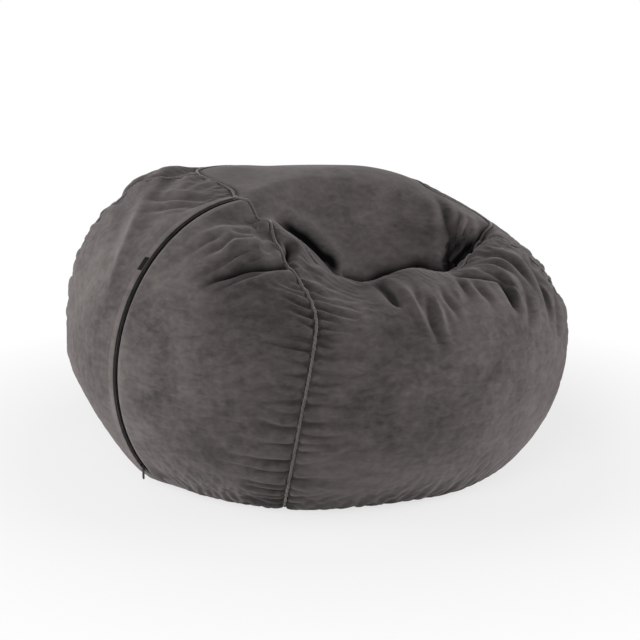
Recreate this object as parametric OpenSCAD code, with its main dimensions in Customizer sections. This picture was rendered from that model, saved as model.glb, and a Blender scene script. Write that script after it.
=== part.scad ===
// Bean bag chair: a sewn, piped cover with a curved zip, around a sewn liner full of beads.
// Millimetres, +Z up, origin at the middle of the face it rests on, front of the seat to -Y.

/* [Bag] */
// Widest diameter of the filled bag
bag_d = 1210; // [1150:10:1260]
// Height of the filled bag before anyone sits in it
bag_h = 655; // [630:5:680]
// How far the round flank stands out beyond the flat foot
overhang = 188.5; // [180:0.5:200]
// Radius of the tighter curve where the flank meets the floor
toe_r = 120; // [105:5:135]
// How far the middle of the crown stands above its edge
crown_rise = 12; // [0:1:25]

/* [Pattern] */
// Diameter of the round top panel
cap_d = 640; // [600:5:660]
// How far the top panel has slid to the right
cap_shift_x = 60; // [40:5:75]
// How far the top panel has slid to the back
cap_shift_y = 50; // [30:5:65]
// Diameter of the round base panel
base_d = 640; // [600:5:680]
// Direction of the front seam where it bulges most, from the front towards the right
front_seam_angle = 0; // [-4:1:8]
// Angle by which the foot of the front seam turns to the left of its middle
front_foot_angle = 12; // [0:1:16]
// Angle by which the top of the front seam turns to the left of its middle
front_lean_angle = 24; // [0:1:26]
// Direction of the right seam
right_seam_angle = 92; // [85:1:100]
// Direction of the back seam
back_seam_angle = 180; // [170:1:190]
// Direction of the left seam, from the front towards the left
left_seam_angle = 95; // [88:1:105]
// Direction of the zip, from the front towards the left
zip_angle = 47; // [43:1:52]

/* [Sat-in shape] */
// Depth that the front right of the bag has slumped by
slump_depth = 130; // [100:5:140]
// Depth of the seat, below the slump
seat_depth = 135; // [110:5:145]
// Depth of the dip in the front edge of the seat
lip_dip = 38; // [30:1:42]
// How far the left end of that edge has sunk
lip_sink = 38; // [28:1:42]
// How far the edge stands up to the right of the dip
lip_rise = 16; // [8:1:18]
// How far the left back swells out
swell = 50; // [20:5:60]
// How far the left foot of the bag is drawn in
tuck = 28; // [10:2:36]

/* [Cloth] */
// Thickness of the padded cover cloth
cover_t = 3; // [2:0.5:4]
// Thickness of the liner cloth
liner_t = 1.5; // [1:0.25:2]
// Depth of the liner below the face of the cover
liner_depth = 9; // [8:0.5:11]
// Space between the liner and the bead fill
fill_gap = 1; // [0.5:0.25:2]
// Thickness of the piping, flat to flat
piping_d = 6.4; // [5:0.2:7]
// How much of the piping stands above the cloth
piping_proud = 2.2; // [1.6:0.2:2.4]
// Space between a panel's edge and the piping sewn into it
seam_gap = 0.3; // [0.2:0.1:0.5]

/* [Zip] */
// Angle below the middle of the flank at which the zip ends
zip_foot_angle = 38; // [34:1:40]
// Width of the tooth coil, both sides together
coil_w = 5.2; // [4.4:0.2:5.6]
// Height of the tooth coil
coil_h = 2.4; // [2:0.1:2.8]
// Distance from one tooth to the next on the same side
tooth_pitch = 6; // [5:0.5:9]
// Width of each tape
tape_w = 14; // [12:1:18]
// Thickness of each tape
tape_t = 0.8; // [0.6:0.1:1]
// Width of the bare strip that shows the coil between the panels
zip_slot_w = 11; // [10.4:0.2:12]
// Width of the placket strip sewn beside the zip
placket_w = 18; // [14:1:20]
// Thickness of the placket strip
placket_t = 2.4; // [1.6:0.2:3]
// Length of the slider
slider_l = 15; // [13:1:18]
// Thickness of the slider's plate and flanges
slider_t = 1.2; // [1:0.1:1.4]
// Play of the slider round the coil
slider_play = 0.4; // [0.35:0.05:0.5]
// Length of the pull tab
pull_l = 24; // [20:1:30]
// Width of the pull tab
pull_w = 6.5; // [6:0.5:8]
// Thickness of the pull tab
pull_t = 1.6; // [1.2:0.1:2]

/* [Label] */
// Length of the sewn label along the zip
label_l = 34; // [28:1:40]
// Width of the sewn label
label_w = 15; // [12:1:17]
// Thickness of the folded label
label_t = 0.8; // [0.6:0.1:1.2]
// Angle above the middle of the flank at which the label is sewn
label_angle = 43; // [30:1:46]

/* [Hidden] */

cloth = "#6a6564";
cloth_light = "#8b8584";
black_trim = "#1d1b1c";
liner_cloth = "#d9d6d0";
bead_white = "#f3f1ec";

// Section of the unsat bag: a flat foot, the toe arc, the flank arc and the crown, all tangent.
// The flank's radius is the one that meets both the top and the toe without a corner.
flank_sum = overhang + bag_h - 2 * toe_r;
flank_r = flank_sum - sqrt(pow(flank_sum, 2) - pow(overhang, 2) - bag_h * (bag_h - 2 * toe_r));
crown_r = bag_d / 2 - flank_r;
mid_z = bag_h - flank_r;
foot_r = crown_r + sqrt(pow(flank_r - toe_r, 2) - pow(mid_z - toe_r, 2));
toe_end = -atan2(mid_z - toe_r, foot_r - crown_r);
toe_len = toe_r * (90 + toe_end) * PI / 180;
flank_len = flank_r * (90 - toe_end) * PI / 180;
toe_s = foot_r + toe_len;
crown_s = toe_s + flank_len;
top_s = crown_s + crown_r;

// The foot, toe, flank and crown are stretches 0, 1, 2 and 3 of a station along the section.
function station(s) =
    s < foot_r ? s / foot_r
    : s < toe_s ? 1 + (s - foot_r) / toe_len
    : s < crown_s ? 2 + (s - toe_s) / flank_len
    : 3 + (s - crown_s) / crown_r;

// Direction that the cloth faces in the section at a station.
function facing(w) =
    w < 1 ? -90
    : w < 2 ? -90 + (w - 1) * (toe_end + 90)
    : w < 3 ? toe_end + (w - 2) * (90 - toe_end)
    : 90;

// Radius and height of the section at a station.
function section(w) =
    w < 1 ? [foot_r * w, 0]
    : w < 2 ? [foot_r + toe_r * cos(facing(w)), toe_r + toe_r * sin(facing(w))]
    : w < 3 ? [crown_r + flank_r * cos(facing(w)), mid_z + flank_r * sin(facing(w))]
    : [crown_r * (4 - w), bag_h + crown_rise * pow(1 - pow(4 - w, 2), 2)];

// Length along the section at which the flank faces an angle, or at which a radius is reached on top.
function s_facing(g) = toe_s + flank_r * (g - toe_end) * PI / 180;
function s_radius(r) = r <= crown_r ? crown_s + crown_r - r : s_facing(acos((r - crown_r) / flank_r));

// A fall-off from 1 in the middle to 0 at the edge of its reach.
function falloff(q) = q >= 1 ? 0 : pow(1 - q, 2);
function smooth(x) = let (t = min(max(x, 0), 1)) t * t * (3 - 2 * t);
function dent(p, depth, at, reach, turn) =
    let (
        d = [p.x - at.x, p.y - at.y],
        along = (d.x * cos(turn) + d.y * sin(turn)) / reach.x,
        across = (d.y * cos(turn) - d.x * sin(turn)) / reach.y
    ) depth * falloff(along * along + across * across);

// Where the bag swells, is drawn in, slumps, has its seat and has the lip of its seat bent: the
// middle, reach and turn of each.
swell_from = [-400, 120, 500];
swell_reach = 350;
shoulder_from = [560, -20, 430];
shoulder_reach = 200;
shoulder = 6;
tuck_from = [-500, -150, 90];
tuck_reach = 230;
slump_from = [260, -275];
slump_reach = [450, 830];
slump_angle = -28;
seat_from = [140, -110];
seat_reach = [350, 225];
seat_angle = 24;
dip_from = [90, -330];
dip_reach = [135, 225];
sink_from = [-105, -300];
sink_reach = [340, 155];
sink_angle = -48;
rise_from = [200, -320];
rise_reach = [125, 140];

// The strip beside the zip stays as it was cut: 0 on it, 1 well away from it.
calm_near = 28;
calm_far = 70;
calm_end = 3;
function calm(p) =
    let (
        out = -p.x * sin(zip_angle) - p.y * cos(zip_angle),
        side = p.y * sin(zip_angle) - p.x * cos(zip_angle),
        away = norm([calm_end * min(out - crown_r, 0), side])
    ) smooth((away - calm_near) / (calm_far - calm_near));

function blob(p, from, reach) = falloff(pow(norm(p - from) / reach, 2));
function fullness(p) =
    swell * blob(p, swell_from, swell_reach)
    + shoulder * blob(p, shoulder_from, shoulder_reach)
    - tuck * blob(p, tuck_from, tuck_reach);
function sag(p) =
    dent(p, slump_depth, slump_from, slump_reach, slump_angle)
    + dent(p, seat_depth, seat_from, seat_reach, seat_angle)
    + dent(p, lip_dip, dip_from, dip_reach, 0)
    + dent(p, lip_sink, sink_from, sink_reach, sink_angle)
    - dent(p, lip_rise, rise_from, rise_reach, 0);

// The way out of the unsat bag's surface, and the way round it, to the right.
function way_out(azimuth, s) =
    let (g = facing(station(s))) [sin(azimuth) * cos(g), -cos(azimuth) * cos(g), sin(g)];
function way_round(azimuth) = [cos(azimuth), sin(azimuth), 0];

// A point of the bag's surface, or `deep` below it: azimuth from the front to the right, and length s.
function bag_point(azimuth, s, deep) =
    let (
        q = section(station(s)),
        out = way_out(azimuth, s),
        flat = [q[0] * sin(azimuth), -q[0] * cos(azimuth), q[1]],
        still = calm(flat),
        full = flat + out * fullness(flat) * still,
        lift = max(full.z - mid_z, 0) / flank_r
    ) [full.x, full.y, full.z - sag(full) * still * lift] - out * deep;

// The outline of the top panel, as the radius from the bag's axis in each direction.
function cap_radius(azimuth) =
    let (
        along = cap_shift_x * sin(azimuth) - cap_shift_y * cos(azimuth),
        across2 = pow(cap_shift_x, 2) + pow(cap_shift_y, 2) - along * along
    ) along + sqrt(pow(cap_d / 2, 2) - across2);
function cap_s(azimuth) = s_radius(cap_radius(azimuth));

// The front seam is upright at this share of its height, and turns away above and below it.
front_upright = 0.68;
function front_azimuth(v) =
    front_seam_angle
    - front_foot_angle * pow(max(1 - v / front_upright, 0), 1.3)
    - front_lean_angle * pow(max(v - front_upright, 0) / (1 - front_upright), 2);

// Seams 0 to 5 run round from the left seam, through the zip, to the left seam again.
function seam_azimuth(seam, v) = [
    -left_seam_angle, -zip_angle, front_azimuth(v), right_seam_angle, back_seam_angle, 360 - left_seam_angle
][seam];

// Half the width that a piping leaves between two cloth edges, and where the zip starts and stops.
ring_ease = 1.2;
piping_half = piping_d / 2 + seam_gap;
ring_half = piping_half + ring_ease;
zip_low_s = s_facing(-zip_foot_angle);
zip_high_g = min(88, facing(station(cap_s(-zip_angle) - ring_half)) - 1.5);
zip_fade = 10;

// Rows of a side panel, from the base ring to the top ring. One row is where the zip starts.
low_rows = 5;
high_rows = 15;
panel_rows = low_rows + high_rows + 1;
function row_s(row, azimuth) =
    row <= low_rows
    ? base_d / 2 + ring_half + (zip_low_s - zip_fade - base_d / 2 - ring_half) * row / low_rows
    : zip_low_s + (cap_s(azimuth) - ring_half - zip_low_s) * (row - low_rows - 1) / high_rows;
function row_v(row) = row / panel_rows;

// The way across a seam along its row, as [round, up]: as long as is 1 wide square to the seam.
function row_way(seam, row) =
    let (
        at = seam_azimuth(seam, row_v(row)),
        low = seam_azimuth(seam, row_v(row - 0.5)),
        high = seam_azimuth(seam, row_v(row + 0.5)),
        degree = section(station(row_s(row, at)))[0] * PI / 180,
        run = [degree * (high - low), row_s(row + 0.5, high) - row_s(row - 0.5, low)],
        way = [degree, row_s(row, at + 0.5) - row_s(row, at - 0.5)]
    ) way * norm(run) / (way[0] * run[1] - way[1] * run[0]);

// Half the gap between the cloth edges at a seam, at length s. The zip's slot is open up to the ring.
function half_gap(seam, s) = seam != 1 ? piping_half : s < zip_low_s - 1 ? seam_gap / 2 : zip_slot_w / 2;

function edge_azimuth(seam, row, side) =
    let (
        middle = seam_azimuth(seam, row_v(row)),
        s = row_s(row, middle)
    ) middle + side * asin(half_gap(seam, s) * row_way(seam, row)[0] / section(station(s))[0]);

// A panel that meets the zip (seam 1) has a narrow last column there, as wide as the calm strip.
function panel_point(seam, row, j, cols, deep) =
    let (
        from = edge_azimuth(seam, row, 1),
        to = edge_azimuth(seam + 1, row, -1),
        strip = asin((calm_near - zip_slot_w / 2) / section(station(row_s(row, from)))[0]),
        azimuth =
            seam == 0 ? (j == cols ? to : from + (to - from - strip) * j / (cols - 1))
            : seam == 1 ? (j == 0 ? from : to - (to - from - strip) * (cols - j) / (cols - 1))
            : from + (to - from) * j / cols
    ) bag_point(azimuth, row_s(row, azimuth), deep);

// A closed sheet between two grids of points: face[i][j] and back[i][j], rows i and columns j.
module sheet(face, back) {
    rows = len(face);
    cols = len(face[0]);
    points = [for (side = [face, back]) for (line = side) for (p = line) p];
    function at(side, i, j) = side * rows * cols + i * cols + j;
    quads = concat(
        [for (i = [0 : rows - 2]) for (j = [0 : cols - 2])
            [at(0, i, j), at(0, i, j + 1), at(0, i + 1, j + 1), at(0, i + 1, j)]],
        [for (i = [0 : rows - 2]) for (j = [0 : cols - 2])
            [at(1, i, j), at(1, i + 1, j), at(1, i + 1, j + 1), at(1, i, j + 1)]],
        [for (j = [0 : cols - 2]) [at(0, 0, j), at(1, 0, j), at(1, 0, j + 1), at(0, 0, j + 1)]],
        [for (j = [0 : cols - 2])
            [at(0, rows - 1, j), at(0, rows - 1, j + 1), at(1, rows - 1, j + 1), at(1, rows - 1, j)]],
        [for (i = [0 : rows - 2]) [at(0, i, 0), at(0, i + 1, 0), at(1, i + 1, 0), at(1, i, 0)]],
        [for (i = [0 : rows - 2])
            [at(0, i, cols - 1), at(1, i, cols - 1), at(1, i + 1, cols - 1), at(0, i + 1, cols - 1)]]
    );
    polyhedron(points, split(quads), 4);
}

// A closed sheet round the axis: rings face[i][j] from the rim in to a middle point on each side.
module disc_sheet(face, back, face_middle, back_middle) {
    rings = len(face);
    cols = len(face[0]);
    points = concat(
        [for (side = [face, back]) for (line = side) for (p = line) p], [face_middle, back_middle]);
    function at(side, i, j) = side * rings * cols + i * cols + j % cols;
    middle = 2 * rings * cols;
    quads = concat(
        [for (i = [0 : rings - 2]) for (j = [0 : cols - 1])
            [at(0, i, j), at(0, i, j + 1), at(0, i + 1, j + 1), at(0, i + 1, j)]],
        [for (i = [0 : rings - 2]) for (j = [0 : cols - 1])
            [at(1, i, j), at(1, i + 1, j), at(1, i + 1, j + 1), at(1, i, j + 1)]],
        [for (j = [0 : cols - 1]) [at(0, 0, j), at(1, 0, j), at(1, 0, j + 1), at(0, 0, j + 1)]]
    );
    tips = concat(
        [for (j = [0 : cols - 1]) [at(0, rings - 1, j + 1), at(0, rings - 1, j), middle]],
        [for (j = [0 : cols - 1]) [at(1, rings - 1, j), at(1, rings - 1, j + 1), middle + 1]]
    );
    polyhedron(points, concat(split(quads), tips), 4);
}

// Each four-sided face as two triangles, with the corners clockwise as seen from outside.
function split(quads) = [for (q = quads) each [[q[0], q[2], q[1]], [q[0], q[3], q[2]]]];

// --- The cover ---

module side_panel(seam, cols) {
    grid = [for (deep = [0, cover_t])
        [for (row = [0 : panel_rows]) [for (j = [0 : cols]) panel_point(seam, row, j, cols, deep)]]];
    color(cloth) sheet(grid[0], grid[1]);
}

module panel_zip_left() { side_panel(0, 9); }
module panel_zip_right() { side_panel(1, 9); }
module panel_front_right() { side_panel(2, 15); }
module panel_back_right() { side_panel(3, 13); }
module panel_back_left() { side_panel(4, 13); }

// The round panels and all that lies under them share one set of columns and rings.
round_cols = 48;
cap_rings = 7;
function cap_ring(i, rim, deep) =
    [for (j = [0 : round_cols - 1])
        let (a = j * 360 / round_cols, s = cap_s(a) + rim)
            bag_point(a, s + (top_s - s) * i / cap_rings, deep)];

module round_top(rim, deep, thick) {
    grid = [for (d = [deep, deep + thick]) [for (i = [0 : cap_rings - 1]) cap_ring(i, rim, d)]];
    disc_sheet(grid[0], grid[1], bag_point(0, top_s, deep), bag_point(0, top_s, deep + thick));
}

module top_cap() { color(cloth) round_top(ring_half, 0, cover_t); }
module bottom_cap() { color(cloth) cylinder(h = cover_t, r = base_d / 2 - ring_half, $fn = 96); }

// --- The piping ---

// An eight-sided tube: middles along the seam, with the way across it and the way out at each.
tube_sides = 8;
function tube_ring(middle, across, out) =
    let (r = piping_d / 2 / cos(180 / tube_sides))
    [for (k = [0 : tube_sides - 1])
        let (a = (k + 0.5) * 360 / tube_sides) middle + across * r * cos(a) + out * r * sin(a)];

// How deep the middle of the piping lies: flush with the cloth where the bag rests on the floor.
rise_len = 60;
function piping_deep(s) = piping_d / 2 - piping_proud * smooth((s - foot_r) / rise_len);

// The way up the unsat bag's surface, square to the way round it.
function way_up(azimuth, s) = cross(way_out(azimuth, s), way_round(azimuth));

function seam_ring(seam, row) =
    let (
        a = seam_azimuth(seam, row_v(row)),
        s = row_s(row, a),
        way = row_way(seam, row),
        across = -way_round(a) * way[0] - way_up(a, s) * way[1]
    ) tube_ring(bag_point(a, s, piping_deep(s)), across, way_out(a, s));

function ring_ring(a) =
    let (s = cap_s(a))
        tube_ring(bag_point(a, s, piping_deep(s)), way_up(a, s), way_out(a, s));

module seam_piping(seam) {
    rings = [for (row = [0 : panel_rows]) seam_ring(seam, row)];
    points = [for (ring = rings) for (p = ring) p];
    last = panel_rows * tube_sides;
    sides = [for (i = [0 : panel_rows - 1]) for (k = [0 : tube_sides - 1])
        let (n = (k + 1) % tube_sides, at = i * tube_sides)
            [at + k, at + n, at + tube_sides + n, at + tube_sides + k]];
    color(cloth_light)
        polyhedron(points, concat(
            split(sides),
            [[for (k = [0 : tube_sides - 1]) k]],
            [[for (k = [tube_sides - 1 : -1 : 0]) last + k]]
        ), 4);
}

module piping_front() { seam_piping(2); }
module piping_right() { seam_piping(3); }
module piping_back() { seam_piping(4); }
module piping_left() { seam_piping(0); }

module piping_top_ring() {
    rings = [for (j = [0 : round_cols - 1]) ring_ring(j * 360 / round_cols)];
    points = [for (ring = rings) for (p = ring) p];
    sides = [for (i = [0 : round_cols - 1]) for (k = [0 : tube_sides - 1])
        let (n = (k + 1) % tube_sides, at = i * tube_sides, next = (i + 1) % round_cols * tube_sides)
            [at + k, at + n, next + n, next + k]];
    color(cloth_light) polyhedron(points, split(sides), 4);
}

module piping_bottom_ring() {
    color(cloth_light)
        translate([0, 0, piping_d / 2])
            rotate_extrude($fn = 96) translate([base_d / 2, 0]) circle(d = piping_d, $fn = 32);
}

// --- The zip: every piece is an arc about the middle of the flank's own curve ---

// In this frame X runs out along the zip's plane, Y is up and Z is the way across, to the left.
module in_zip_plane() {
    translate([-crown_r * sin(zip_angle), -crown_r * cos(zip_angle), mid_z])
        rotate([90, 0, -90 - zip_angle]) children();
}

// A bar with a flat section along the zip, from one angle to another: depths below the cloth's face.
module zip_bar(from, to, low, high, near, far) {
    rotate([0, 0, from])
        rotate_extrude(angle = to - from, $fn = 96)
            translate([flank_r - low, near]) square([low - high, far - near]);
}

function arc_angle(length) = length / flank_r * 180 / PI;

tape_top = cover_t + 1.4;
tape_gap = 0.8;
stop_l = 4;
bead_w = 1.6;
bead_h = 1.1;
tooth_share = 0.4;
tooth_over = coil_w * 0.15;
coil_from = -zip_foot_angle + arc_angle(stop_l);
coil_to = zip_high_g - arc_angle(stop_l);
teeth = floor((coil_to - coil_from) / arc_angle(tooth_pitch));
placket_from = coil_w / 2 + slider_play + slider_t + 0.4;

// A tape with the bead woven into its edge that its teeth are clamped on.
module zip_tape(side) {
    near = side > 0 ? tape_gap / 2 : -tape_gap / 2 - tape_w;
    bead = side > 0 ? coil_w / 2 - bead_w : -coil_w / 2;
    color(black_trim) in_zip_plane() {
        zip_bar(-zip_foot_angle, zip_high_g, tape_top + tape_t, tape_top, near, near + tape_w);
        zip_bar(coil_from, coil_to, tape_top + tape_t / 2, tape_top - bead_h, bead, bead + bead_w);
    }
}

// One row of teeth on the bead: each reaches past the middle, between two of the other side's.
module zip_teeth(side) {
    near = side > 0 ? -tooth_over : -coil_w / 2;
    width = arc_angle(tooth_pitch * tooth_share);
    color(black_trim) in_zip_plane()
        for (i = [0 : teeth - 1]) {
            at = coil_from + arc_angle((i + (side > 0 ? 0.25 : 0.75)) * tooth_pitch);
            zip_bar(at - width / 2, at + width / 2, tape_top - bead_h, tape_top - coil_h,
                near, near + coil_w / 2 + tooth_over);
        }
}

module zip_stop(from) {
    color(black_trim)
        in_zip_plane()
            zip_bar(from, from + arc_angle(stop_l), tape_top, tape_top - coil_h, -coil_w / 2, coil_w / 2);
}

module zip_tape_left() { zip_tape(1); }
module zip_tape_right() { zip_tape(-1); }
module zip_teeth_left() { zip_teeth(1); }
module zip_teeth_right() { zip_teeth(-1); }
module zip_bottom_stop() { zip_stop(-zip_foot_angle); }
module zip_top_stop() { zip_stop(coil_to); }

placket_lift = 0.3;
module zip_placket() {
    color(cloth)
        in_zip_plane()
            zip_bar(-zip_foot_angle, zip_high_g, -placket_lift, -placket_lift - placket_t,
                placket_from, placket_from + placket_w);
}

label_inset = 1.5;
label_lift = placket_lift + placket_t + 0.1;
module seam_label() {
    half = arc_angle(label_l) / 2;
    color(black_trim)
        in_zip_plane()
            zip_bar(label_angle - half, label_angle + half, -label_lift, -label_lift - label_t,
                placket_from + label_inset, placket_from + label_inset + label_w);
}

// The slider: a plate with a flange down each side of the coil, and a crown that holds the pull.
slider_angle = coil_from + arc_angle(slider_l / 2 + 1);
plate_low = tape_top - coil_h - slider_play;
channel = coil_w / 2 + slider_play;
pin_d = 1.6;
eye_d = pin_d + 2 * slider_play;
crown_wall = 1;
crown_w = 2.4;
pin_x = flank_r - plate_low + slider_t + slider_play + eye_d / 2;
module zip_slider() {
    half = arc_angle(slider_l) / 2;
    low = flank_r - plate_low + slider_t / 2;
    crown_d = eye_d + 2 * crown_wall;
    color(black_trim) in_zip_plane() difference() {
        union() {
            zip_bar(slider_angle - half, slider_angle + half, plate_low, plate_low - slider_t,
                -channel - slider_t, channel + slider_t);
            for (near = [-channel - slider_t, channel])
                zip_bar(slider_angle - half, slider_angle + half,
                    tape_top - slider_play, plate_low - slider_t / 2, near, near + slider_t);
            rotate([0, 0, slider_angle]) {
                translate([low, -crown_d / 2, -crown_w / 2]) cube([pin_x - low, crown_d, crown_w]);
                translate([pin_x, 0, -crown_w / 2]) cylinder(h = crown_w, d = crown_d, $fn = 48);
            }
        }
        rotate([0, 0, slider_angle])
            translate([pin_x, 0, -crown_w]) cylinder(h = 2 * crown_w, d = eye_d, $fn = 48);
    }
}

// The pull hangs straight down from its pin: two arms round the crown, and a tab with a finger hole.
arm_in = crown_w / 2 + slider_play;
arm_out = pull_w / 2;
neck = eye_d / 2 + crown_wall + slider_play + 1;
hole_d = pull_w * 0.45;
module zip_pull() {
    tip = -neck - pull_l + arm_out;
    color(black_trim) in_zip_plane()
        translate([pin_x * cos(slider_angle), pin_x * sin(slider_angle), 0])
            difference() {
                union() {
                    translate([0, 0, -arm_out]) cylinder(h = 2 * arm_out, d = pin_d, $fn = 32);
                    for (near = [-arm_out, arm_in])
                        translate([-pull_t / 2, -neck - pull_t, near])
                            cube([pull_t, neck + pull_t, arm_out - arm_in]);
                    translate([-pull_t / 2, tip, -arm_out]) cube([pull_t, pull_l - arm_out, pull_w]);
                    translate([-pull_t / 2, tip, 0])
                        rotate([0, 90, 0]) cylinder(h = pull_t, d = pull_w, $fn = 48);
                }
                translate([-pull_t, tip, 0])
                    rotate([0, 90, 0]) cylinder(h = 2 * pull_t, d = hole_d, $fn = 32);
            }
}

// --- The liner and the fill ---

liner_gap = 0.3;
liner_rows = 10;
gore_cols = round_cols / 4;
function liner_s(row, a) =
    let (from = base_d / 2 + liner_gap, to = cap_s(a) - liner_gap) from + (to - from) * row / liner_rows;

module liner_gore(middle) {
    grid = [for (deep = [liner_depth, liner_depth + liner_t])
        [for (row = [0 : liner_rows]) [for (j = [0 : gore_cols])
            let (
                a = middle + (j / gore_cols - 0.5) * 90,
                s = liner_s(row, a),
                inset = j == 0 ? 1 : j == gore_cols ? -1 : 0,
                r = section(station(s))[0]
            ) bag_point(a + inset * asin(liner_gap / 2 / r), s, deep)]]];
    color(liner_cloth) sheet(grid[0], grid[1]);
}

module liner_gore_front() { liner_gore(0); }
module liner_gore_right() { liner_gore(90); }
module liner_gore_back() { liner_gore(180); }
module liner_gore_left() { liner_gore(270); }
module liner_top() { color(liner_cloth) round_top(liner_gap, liner_depth, liner_t); }
module liner_bottom() {
    color(liner_cloth)
        translate([0, 0, liner_depth]) cylinder(h = liner_t, r = base_d / 2 - liner_gap, $fn = 96);
}

module bead_filling() {
    deep = liner_depth + liner_t + fill_gap;
    flank = [for (row = [0 : liner_rows]) [for (j = [0 : round_cols - 1])
        let (a = j * 360 / round_cols) bag_point(a, liner_s(row, a), deep)]];
    crown = [for (i = [1 : cap_rings - 1]) cap_ring(i, liner_gap, deep)];
    rings = concat(flank, crown);
    count = len(rings);
    points = concat([for (ring = rings) for (p = ring) p], [[0, 0, deep], bag_point(0, top_s, deep)]);
    middle = count * round_cols;
    function at(i, j) = i * round_cols + j % round_cols;
    sides = [for (i = [0 : count - 2]) for (j = [0 : round_cols - 1])
        [at(i, j), at(i, j + 1), at(i + 1, j + 1), at(i + 1, j)]];
    tips = [for (j = [0 : round_cols - 1]) each [
        [at(0, j), at(0, j + 1), middle],
        [at(count - 1, j + 1), at(count - 1, j), middle + 1]
    ]];
    color(bead_white) polyhedron(points, concat(split(sides), tips), 4);
}

panel_zip_left();
panel_zip_right();
panel_front_right();
panel_back_right();
panel_back_left();
top_cap();
bottom_cap();
piping_front();
piping_right();
piping_back();
piping_left();
piping_top_ring();
piping_bottom_ring();
zip_placket();
zip_tape_left();
zip_tape_right();
zip_teeth_left();
zip_teeth_right();
zip_top_stop();
zip_bottom_stop();
zip_slider();
zip_pull();
seam_label();
liner_gore_front();
liner_gore_right();
liner_gore_back();
liner_gore_left();
liner_top();
liner_bottom();
bead_filling();
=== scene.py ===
"""Bean bag chair: five side panels, a top and a bottom panel with piping in their seams, and a zip.

The form is the same surface as the solids have. On it come the folds of a bag that was sat in, and
then a cloth relaxation that puckers the seams. All lengths are in metres, and fold lines in whole
centimetres. Azimuth 0 is the front of the bag, and 90 degrees its right side.
"""
import math

import bpy
import numpy as np
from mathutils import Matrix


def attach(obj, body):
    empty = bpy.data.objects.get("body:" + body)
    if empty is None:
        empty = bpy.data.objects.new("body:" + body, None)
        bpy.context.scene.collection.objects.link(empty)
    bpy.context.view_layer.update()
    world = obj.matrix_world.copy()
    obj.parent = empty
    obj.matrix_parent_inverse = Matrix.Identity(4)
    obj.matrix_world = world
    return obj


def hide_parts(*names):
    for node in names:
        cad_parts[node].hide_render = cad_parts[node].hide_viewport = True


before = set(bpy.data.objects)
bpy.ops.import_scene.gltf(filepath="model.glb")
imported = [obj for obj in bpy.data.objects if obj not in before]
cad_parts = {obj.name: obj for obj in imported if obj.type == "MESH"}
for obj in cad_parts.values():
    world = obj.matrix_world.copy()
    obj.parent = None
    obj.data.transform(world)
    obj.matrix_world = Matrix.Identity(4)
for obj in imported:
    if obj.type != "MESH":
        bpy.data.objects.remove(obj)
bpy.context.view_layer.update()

# --- Sizes, as in the solids ---

# The bag: its width and height, how far the flanks overhang the foot, the toe's radius, and how much
# the crown rises to its middle.
BAG_D = 1.21
BAG_H = 0.655
OVERHANG = 0.1885
TOE_R = 0.12
CROWN_RISE = 0.012

# The round panels, and the azimuths of the side seams. The front seam bows to the left at its foot
# and leans to the left from a share of the height up.
CAP_D = 0.64
CAP_SHIFT = (0.06, 0.05)
BASE_D = 0.64
SEAMS_AT = (-95, -47, 0, 92, 180, 265)
LEFT, ZIP, FRONT, RIGHT, BACK = range(5)
FRONT_SEAM_FOOT = 12
FRONT_SEAM_LEAN = 24
LEAN_FROM = 0.68

# Cloth: thickness of the cover and the liner, and how deep the liner and the beads lie.
COVER_T = 0.003
LINER_T = 0.0015
LINER_DEPTH = 0.009
FILL_DEPTH = 0.0115

# Piping: its radius, how much of it stands proud, from what height on and over what rise it comes to
# do so, and half of the gaps that it fills at the side seams and round the top and bottom panels.
PIPING_R = 0.0032
PIPING_PROUD = 0.0022
PIPING_FROM, PIPING_RISE = 0.004, 0.03
PIPING_HALF = 0.0035
RING_HALF = 0.0041

# The zip: the angles of its ends down and up the flank, its slot, and the plain seam below it.
ZIP_FOOT = 38
ZIP_HIGH = 88
ZIP_SLOT = 0.011
STITCH_GAP = 0.0003
ZIP_SIN = math.sin(math.radians(SEAMS_AT[ZIP]))
ZIP_COS = math.cos(math.radians(SEAMS_AT[ZIP]))

# The strip beside the zip, and the label on it.
PLACKET_NEAR = 0.0046
PLACKET_W = 0.018
PLACKET_LIFT = 0.0003
PLACKET_T = 0.0024
LABEL_AT = 43
LABEL_L = 0.034
LABEL_W = 0.015
LABEL_T = 0.0008
LABEL_INSET = 0.0015
LABEL_LIFT = 0.0001

# What follows from these. A name in _S is a length along the section, from the middle of the foot.
FLANK_SUM = OVERHANG + BAG_H - 2 * TOE_R
FLANK_R = FLANK_SUM - math.sqrt(FLANK_SUM ** 2 - OVERHANG ** 2 - BAG_H * (BAG_H - 2 * TOE_R))
CROWN_R = BAG_D / 2 - FLANK_R
MID_Z = BAG_H - FLANK_R
FOOT_R = CROWN_R + math.sqrt((FLANK_R - TOE_R) ** 2 - (MID_Z - TOE_R) ** 2)
TOE_END = -math.atan2(MID_Z - TOE_R, FOOT_R - CROWN_R)
TOE_S = FOOT_R + TOE_R * (math.pi / 2 + TOE_END)
CROWN_S = TOE_S + FLANK_R * (math.pi / 2 - TOE_END)
TOP_S = CROWN_S + CROWN_R
BASE_S = BASE_D / 2 + RING_HALF
ZIP_LOW_S = TOE_S + FLANK_R * (math.radians(-ZIP_FOOT) - TOE_END)

# The cloth's grid: nodes round the bag, steps up its side, and nodes along an edge of the top's.
AROUND = 880
ROWS = 180
ACROSS = AROUND // 4 + 1


# --- The bag's form ---

def falloff(q):
    """(1 - q) squared, and 0 past 1."""
    return (1 - np.minimum(q, 1)) ** 2


def smooth(x):
    """The smooth step 3 x^2 - 2 x^3 from 0 to 1."""
    t = np.clip(x, 0, 1)
    return t * t * (3 - 2 * t)


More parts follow.
